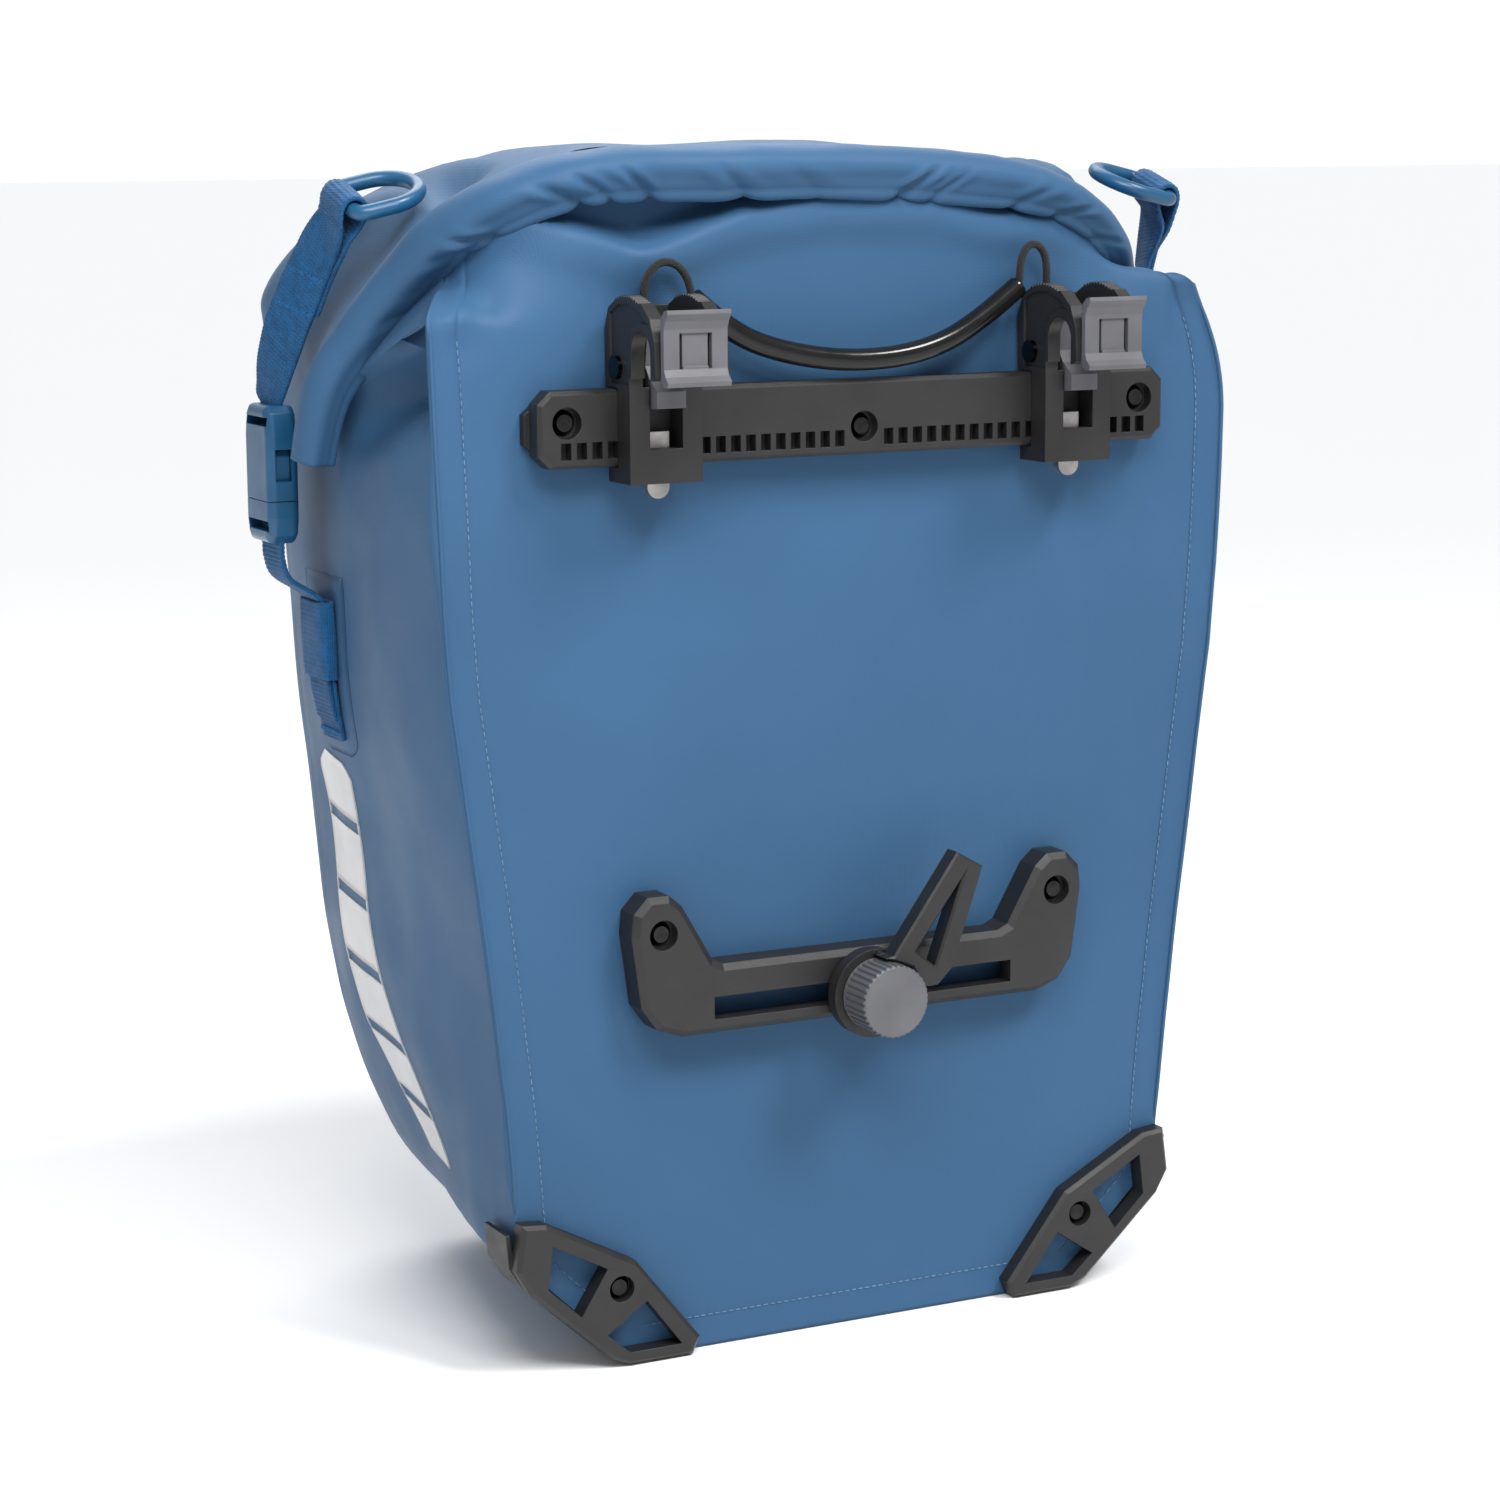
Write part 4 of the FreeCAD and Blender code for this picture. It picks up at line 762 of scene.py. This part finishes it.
def roll_reach(s, angle):
    """The roll's radius as a share of its plain section, tucked along its lower edge."""
    lower = bell(angle, TUCK_ANGLE, 30)
    face = bell(angle, 196, 26)
    reach = np.ones(np.broadcast(s, angle).shape)
    for place, wide, deep in TUCKS:
        slant = TUCK_SLANT if place < 0 else -TUCK_SLANT
        gap = np.abs(s - place - slant * (angle - TUCK_ANGLE))
        reach -= lower * deep / 9 * np.exp(-(gap / (wide * 0.36)))
        reach += face * deep / 30 * bell(gap, wide * 0.7, wide * 0.45)
        reach -= face * deep / 44 * bell(gap, 0, wide * 0.3)
    # a flat front that ends in the hem's edge
    reach += 0.26 * bell(angle, 248, 13) - 0.14 * bell(angle, 202, 27)
    reach -= 0.03 * bell(angle, 229, 2.6)
    reach += 0.05 * np.sin(s / 31 + 0.7) * np.cos(np.radians(angle) + s / 70)
    return reach


def make_roll_fabric():
    angles = np.linspace(0, 360, 73)[:-1]
    s = roll_run[:, None]
    reach = roll_reach(s, angles)
    points = on_roll(*np.broadcast_arrays(s, angles), reach)
    points = points + grid_normals(points, True) * (pebble(points, 16, 4) * 0.35)[..., None]
    # both ends close with the turns of the rolled sheet
    caps = []
    for index, way in ((0, -1), (-1, 1)):
        ring = points[index]
        middle = ring.mean(axis=0)
        layers = []
        for part in np.linspace(1, 0.08, 25)[1:]:
            turn = np.radians(angles) + part * math.tau * ROLL_TURNS
            step = 1.4 * np.cos(turn + part * 14.0)
            dip = 0.8 * smoothstep(1 - part, 0, 0.1) + 4.0 * smoothstep(1 - part, 0.1, 0.35)
            sunk = (dip - step * dip / 5)[:, None]
            layers.append(middle + (ring - middle) * part - way * roll_way[index] * sunk)
        caps.append(np.stack(layers))
    stack = np.concatenate([caps[0][::-1], points, caps[1]])
    faces = grid_faces(len(stack), len(angles), True)
    piece = make_piece("roll_fabric", rows_at(stack), faces, "coated_fabric")
    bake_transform(piece)
    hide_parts("closure_roll", "closure_batten")


# ---- cords
PULL_SLEEVE = ((-71.6, -9, 414.6), (-56.5, -10, 401.3), (-34, -12, 392.8), (-4, -13, 388.6), (26, -13, 391.2),
               (50, -12, 401), (70.5, -10, 415.5))
PULL_CORD_LEFT = ((-91.8, -9.7, 408), (-92.1, -9.6, 414), (-91.8, -9.5, 420), (-89, -9.3, 425.6),
                  (-84, -9.2, 428.6), (-78.6, -9.1, 427.6), (-74.6, -9, 424), (-72.6, -9, 419.5),
                  (-71.8, -9, 415.6))
PULL_CORD_RIGHT = ((70.9, -10, 416), (71.2, -10, 422.5), (72.6, -10, 428.5), (76, -10, 432),
                   (80.2, -10, 431.2), (83, -10, 427), (83.6, -10, 421), (83.6, -9.8, 414), (83.4, -9.7, 408))
SLEEVE_RADIUS, SLEEVE_TURNS, CORD_RADIUS = 4.3, 24, 1.5
# share of the radius and step inwards, from the sleeve's end
SLEEVE_END = ((0.72, 0.3), (0.95, 0.0), (1.0, 0.4))


def route_curve(name, route, radius=0.0):
    """A curve whose NURBS spline has the route's points as its control points."""
    curve = bpy.data.curves.new(name, "CURVE")
    curve.dimensions = "3D"
    curve.bevel_depth = radius * MM
    curve.bevel_resolution = 6
    curve.use_fill_caps = True
    curve.resolution_u = 24
    spline = curve.splines.new("NURBS")
    spline.points.add(len(route) - 1)
    for knot, place in zip(spline.points, route):
        knot.co = (*at(*place), 1)
    spline.order_u = 3
    spline.use_endpoint_u = True
    return placed(name, curve)


def spline_points(route):
    """Points along the route's NURBS spline, as Blender evaluates it."""
    guide = route_curve("guide", route)
    line = bpy.data.meshes.new_from_object(guide)
    points = np.array([tuple(v.co) for v in line.vertices])
    bpy.data.objects.remove(guide)
    bpy.data.meshes.remove(line)
    return points


def make_pull_line():
    line = spline_points(PULL_SLEEVE)
    way = unit(np.gradient(line, axis=0))
    side = unit(np.cross(way, [0.0, 1.0, 0.0]))
    up = np.cross(side, way)
    last = len(line) - 1
    rings = [(0, share, step) for share, step in SLEEVE_END]
    rings += [(i, 1.0, 0.0) for i in range(1, last)]
    rings += [(last, share, -step) for share, step in SLEEVE_END[::-1]]
    places = [i for i, _, _ in rings]
    spots = [line[i] + way[i] * step * MM for i, _, step in rings]
    radii = [SLEEVE_RADIUS * MM * share for _, share, _ in rings]
    shell = tube(spots, side[places], up[places], radii, SLEEVE_TURNS)
    sleeve = make_piece("handle_sleeve", *shell, "pull_sleeve")
    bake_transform(sleeve)
    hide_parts("pull_sleeve")
    for side_name, route, length in (("left", PULL_CORD_LEFT, 0.0433), ("right", PULL_CORD_RIGHT, 0.0452)):
        cord = route_curve("handle_cord_" + side_name, route, CORD_RADIUS)
        cord.data.materials.append(PAINTS["pull_cord"])
        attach(cord, "hook_" + side_name)
        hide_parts("pull_cord_" + side_name)


# ---- things laid on the fabric
def on_fabric(surface, start, way, lift):
    """Where a ray meets the fabric, lifted off it, in the row frame."""
    place, normal, _, _ = surface.ray_cast(start, way)
    if normal.dot(way) > 0:
        normal = -normal
    return np.array(place + normal * lift * MM)


def on_side(surface, side, y, z, lift):
    return on_fabric(surface, at(side * 300, y, z), Vector((-side, 0, 0)), lift)


def on_panel(surface, x, z, lift):
    return on_fabric(surface, at(x, -200, z), Vector((0, 1, 0)), lift)


def sheet_piece(name, grids, paint):
    """Thin sheets with a back face, from grids of outer points and of inner points."""
    vertices, faces = [], []
    for outer, inner in grids:
        rows, count = outer.shape[:2]
        first = len(vertices)
        vertices += list(outer.reshape(-1, 3)) + list(inner.reshape(-1, 3))
        faces += grid_faces(rows, count, False, first)
        back = first + rows * count
        faces += [face[::-1] for face in grid_faces(rows, count, False, back)]
        rim = [(r, 0) for r in range(rows)] + [(rows - 1, c) for c in range(1, count)]
        rim += [(r, count - 1) for r in range(rows - 2, -1, -1)] + [(0, c) for c in range(count - 2, 0, -1)]
        for (r0, c0), (r1, c1) in zip(rim, rim[1:] + rim[:1]):
            i, j = r0 * count + c0, r1 * count + c1
            faces.append((first + i, back + i, back + j, first + j))
    return make_piece(name, vertices, faces, paint)


PRINT_EDGES = (
    # height, near edge, far edge
    (225.5, 107, 143.5), (217, 106.8, 148.5), (200, 106, 145.5), (169, 103, 142), (140, 96, 138),
    (112, 86, 130), (88, 76, 114), (67, 68, 92))
PRINT_SLITS = (200, 169, 140, 112, 87)
PRINT_TOP, PRINT_FOOT = 226.5, 66
PRINT_BORDER, HALF_SLIT = 1.3, 2.3


def print_row(z, part):
    """Depths and heights of points across one part of the print, along its slope."""
    near, far = (float(table(z, PRINT_EDGES[::-1], k)) for k in (1, 2))
    tip = smoothstep(z, 221, PRINT_TOP)
    near, far = near + 7 * tip, far - 9 * tip
    if part == "near":
        depths = np.linspace(near, near + PRINT_BORDER, 2)
    elif part == "far":
        depths = np.linspace(far - PRINT_BORDER, far, 2)
    else:
        depths = np.linspace(near, far, 12)
    return list(zip(depths, z + 3.0 * (depths - near) / (far - near)))


def make_print(surface, name, side):
    """One printed shape with five slits that stop just short of its edges."""
    heights = [z for slit in PRINT_SLITS for z in (slit + HALF_SLIT, slit - HALF_SLIT)]
    heights = [PRINT_TOP, *heights, PRINT_FOOT]
    bands = [(high, low, "whole") for high, low in zip(heights[0::2], heights[1::2])]
    for high, low in zip(heights[1::2], heights[2::2]):
        bands += [(high, low, "near"), (high, low, "far")]
    grids = []
    for high, low, part in bands:
        rows = [print_row(z, part) for z in np.linspace(high, low, max(3, int((high - low) / 2.5)))]
        grids.append([np.array([[on_side(surface, side, *spot, lift) for spot in row] for row in rows])
                      for lift in (0.45, -0.1)])
    piece = sheet_piece("side_print_" + name, grids, "reflective_print")
    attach(piece, "bag")
    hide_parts("reflector_" + name)


def make_patch(surface, name, side):
    """The welded patch under the lower strap, its lower corners round."""
    low, high, near, far, corner = 231.0, 304.0, 91.5, 133.0, 9.0
    layers = []
    for lift, edge in ((0.75, 0.55), (-0.2, 0.0)):
        sheet = []
        for z in np.linspace(high, low, 26):
            trim = corner * (1 - math.sqrt(max(0.0, 1 - smoothstep(low + corner - z, 0, corner) ** 2)))
            row = []
            for k, y in enumerate(np.linspace(near + trim, far - trim, 14)):
                rim = edge if k in (0, 13) or z in (high, low) else 0.0
                row.append(on_side(surface, side, y, z, lift - rim))
            sheet.append(row)
        layers.append(np.array(sheet))
    piece = sheet_piece("strap_patch_fabric_" + name, [layers], "coated_fabric")
    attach(piece, "bag")
    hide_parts("strap_patch_" + name)


# ---- webbing
RIB_PITCH, RIB_HEIGHT, WEBBING_STEP = 1.75, 0.42, 0.42
STRAP_WIDE, STRAP_THICK = 21.5, 1.5


def webbing(route, across, wide, thick):
    """Vertices and faces of a woven strap along a route (panel frame), ribbed across its faces."""
    knots = distances(route)
    line, run = resampled(route, max(8, int(knots[-1] / WEBBING_STEP)))
    way = unit(np.gradient(line, axis=0))
    if np.ndim(across) > 1:
        across = read_along(run / run[-1] * knots[-1], knots, across)
    across = unit(across - way * (np.sum(way * across, axis=-1, keepdims=True)))
    face = np.cross(way, across)
    columns = []
    for sign in (1, -1):
        ribs = RIB_HEIGHT * np.abs(np.sin(math.pi * run / RIB_PITCH + (0.9 if sign < 0 else 0)))
        for value in np.linspace(-1, 1, 15)[::sign]:
            edge = 1 - 0.28 * abs(value) ** 10
            out = sign * (thick / 2 * edge + ribs * edge - 0.07 * math.cos(value * math.pi * 7))
            columns.append(line + across * (value * wide / 2) + face * out[:, None])
    grid = np.stack(columns, axis=1)
    return rows_at(grid), barrel_faces(len(line), len(columns))


def joined(parts):
    """One mesh's vertices and faces from several."""
    vertices, faces = [], []
    for points, polygons in parts:
        first = len(vertices)
        vertices += [tuple(p) for p in points]
        faces += [tuple(first + i for i in polygon) for polygon in polygons]
    return vertices, faces


UPPER_STRAP = (
    # along from the ring's bar, out from the line to the buckle, turn of the webbing towards the rack
    (98, -1.5, 0.0), (92, 0.0, 0.05), (80, 2.0, 0.25), (62, 3.6, 0.42), (42, 3.8, 0.42), (24, 3.2, 0.3),
    (12, 3.4, 0.1), (5, 4.4, 0), (0.5, 4.9, 0), (-3.6, 3.4, 0), (-5.1, 0, 0), (-3.6, -3.4, 0), (0.5, -4.9, 0),
    (6, -3.6, 0.05), (14, -0.4, 0.16), (28, 1.2, 0.32), (46, 1.9, 0.42))


# along from the bar, out from the line, turn of the webbing
UPPER_TACKS = ((18.5, 4.3, 0.22), (34.0, 4.7, 0.38), (50.0, 4.9, 0.43))
TACK_STEPS, TACK_RADIUS, SEAM_RADIUS = 17, 0.42, 0.34
# share of the way along a stitch, share of its radius
STITCH_RINGS = ((0.0, 0.25), (0.15, 0.85), (0.5, 1.0), (0.85, 0.85), (1.0, 0.25))


def bartack(middle, across, way, face, wide, long):
    """A zigzag of thread across a strap."""
    spots = [middle + across * (wide * (i / (TACK_STEPS - 1) - 0.5)) + way * (long * (0.5 if i % 2 else -0.5))
             for i in range(TACK_STEPS)]
    return [stitch(a, b, face, TACK_RADIUS) for a, b in zip(spots, spots[1:])]


def stitch(a, b, face, radius):
    """One raised stitch between two panel-frame points, as a slim pointed bar."""
    way = unit(b - a)
    side = unit(np.cross(way, face))
    spots = [a + (b - a) * share for share, _ in STITCH_RINGS]
    count = len(spots)
    points, faces = tube(spots, [side] * count, [np.cross(side, way)] * count,
                         [radius * size for _, size in STITCH_RINGS], 6)
    return rows_at(points), faces


def make_upper_strap(name, side):
    mirror = np.array([side, 1, 1])
    bar, foot = RING_BAR * mirror, (BUCKLE + np.array([0, 0, 4.6])) * mirror
    way = unit(foot - bar)
    out = unit(np.cross(way, BAR_WAY))
    out = out * np.sign(out[0] * side)
    # the loop stays square to the bar, and the strap slants off only below it
    slant = BAR_WAY * (way @ BAR_WAY)
    route = [bar + way * a - slant * a * (1 - smoothstep(a, 6, 24)) + out * b for a, b, _ in UPPER_STRAP]
    turns = [BAR_WAY - np.array([side * turn, 0, 0]) for _, _, turn in UPPER_STRAP]
    threads = []
    for along, lift, turn in UPPER_TACKS:
        across = unit(BAR_WAY - np.array([side * turn, 0, 0]))
        face = unit(np.cross(across, way))
        face = face * np.sign(face @ out)
        middle = bar + way * along + out * (lift - 1.1) + face * 0.9
        threads += bartack(middle, across, way, face, 19.0, 2.2)
    strap = make_piece("closure_strap_" + name, *webbing(route, turns, STRAP_WIDE, STRAP_THICK), "webbing")
    seams = make_piece("closure_strap_thread_" + name, *joined(threads), "webbing_thread")
    for piece in (strap, seams):
        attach(piece, "closure")
    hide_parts("upper_strap_" + name)


STRAP_DEPTH = 112
# out and height of the strap's points above the wall, then height and lift of those on it
STRAP_FREE = ((196.5, 326), (196.8, 318), (196.5, 311), (193.5, 303.5))
STRAP_LAID = ((297, 7.5), (291, 4.0), (283, 3.2), (272, 3.0), (258, 2.7), (246, 2.3), (238, 1.9))
LOWER_TACKS = (250.0, 241.5)
KEEPER_HALF, KEEPER_GAP = 12.6, 3.4
KEEPER_HEIGHT, KEEPER_MIDDLE, KEEPER_LIFT = 31.0, 278.5, 4.0
KEEPER_ROWS, KEEPER_TURNS = 49, 40
KEEPER_INSIDE = np.array([0.66, 0.91, 1.0])


def strap_spot(surface, side, z, lift):
    """The side wall's point under the lower strap, lifted off it, in the panel frame."""
    return on_side(surface, side, STRAP_DEPTH, z, lift) / MM - PANEL_SHIFT


def keeper_shell(surface, side):
    """Vertices and faces of the keeper, an elastic band all the way round the lower strap."""
    rings = []
    half = KEEPER_HEIGHT / 2
    for k, z in enumerate(np.linspace(KEEPER_MIDDLE + half, KEEPER_MIDDLE - half, KEEPER_ROWS)):
        centre = strap_spot(surface, side, z, KEEPER_LIFT)
        bulge = math.cos((z - KEEPER_MIDDLE) / KEEPER_HEIGHT * math.pi)
        swell = 0.22 * abs(math.sin(k * math.pi / 3)) + 0.35 * bulge
        ring = []
        for turn in np.linspace(0, math.tau, KEEPER_TURNS + 1)[:-1]:
            cos, sin = math.cos(turn), math.sin(turn)
            wide = math.copysign(abs(cos) ** 0.35, cos) * (KEEPER_HALF + swell)
            deep = math.copysign(abs(sin) ** 0.6, sin) * (KEEPER_GAP + swell)
            ring.append(centre + np.array([side * deep, wide, 0]))
        rings.append(ring)
    outer = np.array(rings)
    centre = outer[::-1].mean(axis=1, keepdims=True)
    stack = np.concatenate([outer, centre + (outer[::-1] - centre) * KEEPER_INSIDE])
    faces = grid_faces(len(stack), KEEPER_TURNS, True)
    last = (len(stack) - 1) * KEEPER_TURNS
    for c in range(KEEPER_TURNS):
        d = (c + 1) % KEEPER_TURNS
        faces.append((last + c, last + d, d, c))
    return rows_at(stack), faces


def make_lower_strap(surface, name, side):
    """The strap from the buckle down to the patch, and the keeper round it."""
    route = [np.array([side * x, STRAP_DEPTH, z]) for x, z in STRAP_FREE]
    route += [strap_spot(surface, side, z, lift) for z, lift in STRAP_LAID]
    # the strap's end lies doubled on it, under the keeper
    end = [p + np.array([side * step, 0, 0]) for p, step in zip(route[6:10], (1.9, 1.9, 1.9, 1.2))]
    parts = [webbing(route, (0, 1, 0), STRAP_WIDE, STRAP_THICK), webbing(end, (0, 1, 0), 21.0, 1.4)]
    threads = []
    for z in LOWER_TACKS:
        middle = strap_spot(surface, side, z, 3.7)
        threads += bartack(middle, *np.eye(3)[1:], np.array([side, 0, 0]), 18.5, 2.0)
    strap = make_piece("side_strap_" + name, *joined(parts), "webbing")
    seams = make_piece("side_strap_thread_" + name, *joined(threads), "webbing_thread")
    keeper = make_piece("strap_loop_" + name, *keeper_shell(surface, side), "webbing")
    for piece in (strap, seams, keeper):
        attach(piece, "bag")
    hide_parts("lower_strap_" + name)
    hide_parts("strap_keeper_" + name)


# ---- seams
SEAM_PITCH, STITCH_SHARE = 3.1, 0.74
HEM_INSET, HEM_RADIUS, HEM_TURNS = 0.9, 0.75, 8


def beside_edge(heights, side, inset):
    """Places across the panel at an inset from its edge."""
    x = side * (table(heights, PANEL_EDGE, 1, 2.0) - inset)
    return x - shoulder(x, 0.0, heights)


def make_panel_hem(surface):
    """The rounded fold along each edge of the panel."""
    heights = np.arange(66.0, 408.0, 2.0)
    radii = 0.2 + 0.8 * smoothstep(heights, 66, 72) - 0.8 * smoothstep(heights, 398, 407)
    radii *= HEM_RADIUS * MM
    hems = []
    for side in (-1, 1):
        spots = [on_panel(surface, x, z, 0.1) for x, z in zip(beside_edge(heights, side, HEM_INSET), heights)]
        way = unit(np.gradient(np.array(spots), axis=0))
        across = unit(np.cross(way, [0.0, -1.0, 0.0]))
        hems.append(tube(spots, across, np.cross(across, way), radii, HEM_TURNS))
    hem = make_piece("panel_hem", *joined(hems), "coated_fabric")
    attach(hem, "bag")


def make_panel_seam(surface):
    """The stitched line inside the panel's edge."""
    heights = np.arange(14.0, 404.0, SEAM_PITCH)
    legs = [list(zip(beside_edge(heights, side, SEAM_INSET), heights)) for side in (-1, 1)]
    legs.append([(x, SEAM_INSET) for x in np.arange(-92, 92, SEAM_PITCH)])
    parts = []
    for leg in legs:
        for (xa, za), (xb, zb) in zip(leg, leg[1:]):
            a = on_panel(surface, xa, za, 0.12) / MM
            b = on_panel(surface, xa + (xb - xa) * STITCH_SHARE, za + (zb - za) * STITCH_SHARE, 0.12) / MM
            parts.append(stitch(a - PANEL_SHIFT, b - PANEL_SHIFT, np.array([0, -1.0, 0]), SEAM_RADIUS))
    piece = make_piece("panel_seam", *joined(parts), "thread")
    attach(piece, "bag")


set_camera()
set_stage()
dress_frame()
make_pull_line()
fabric = make_bag_fabric()
make_roll_fabric()
for side_name, side_sign in SIDES:
    make_print(fabric, side_name, side_sign)
    make_patch(fabric, side_name, side_sign)
    make_upper_strap(side_name, side_sign)
    make_lower_strap(fabric, side_name, side_sign)
make_panel_hem(fabric)
make_panel_seam(fabric)
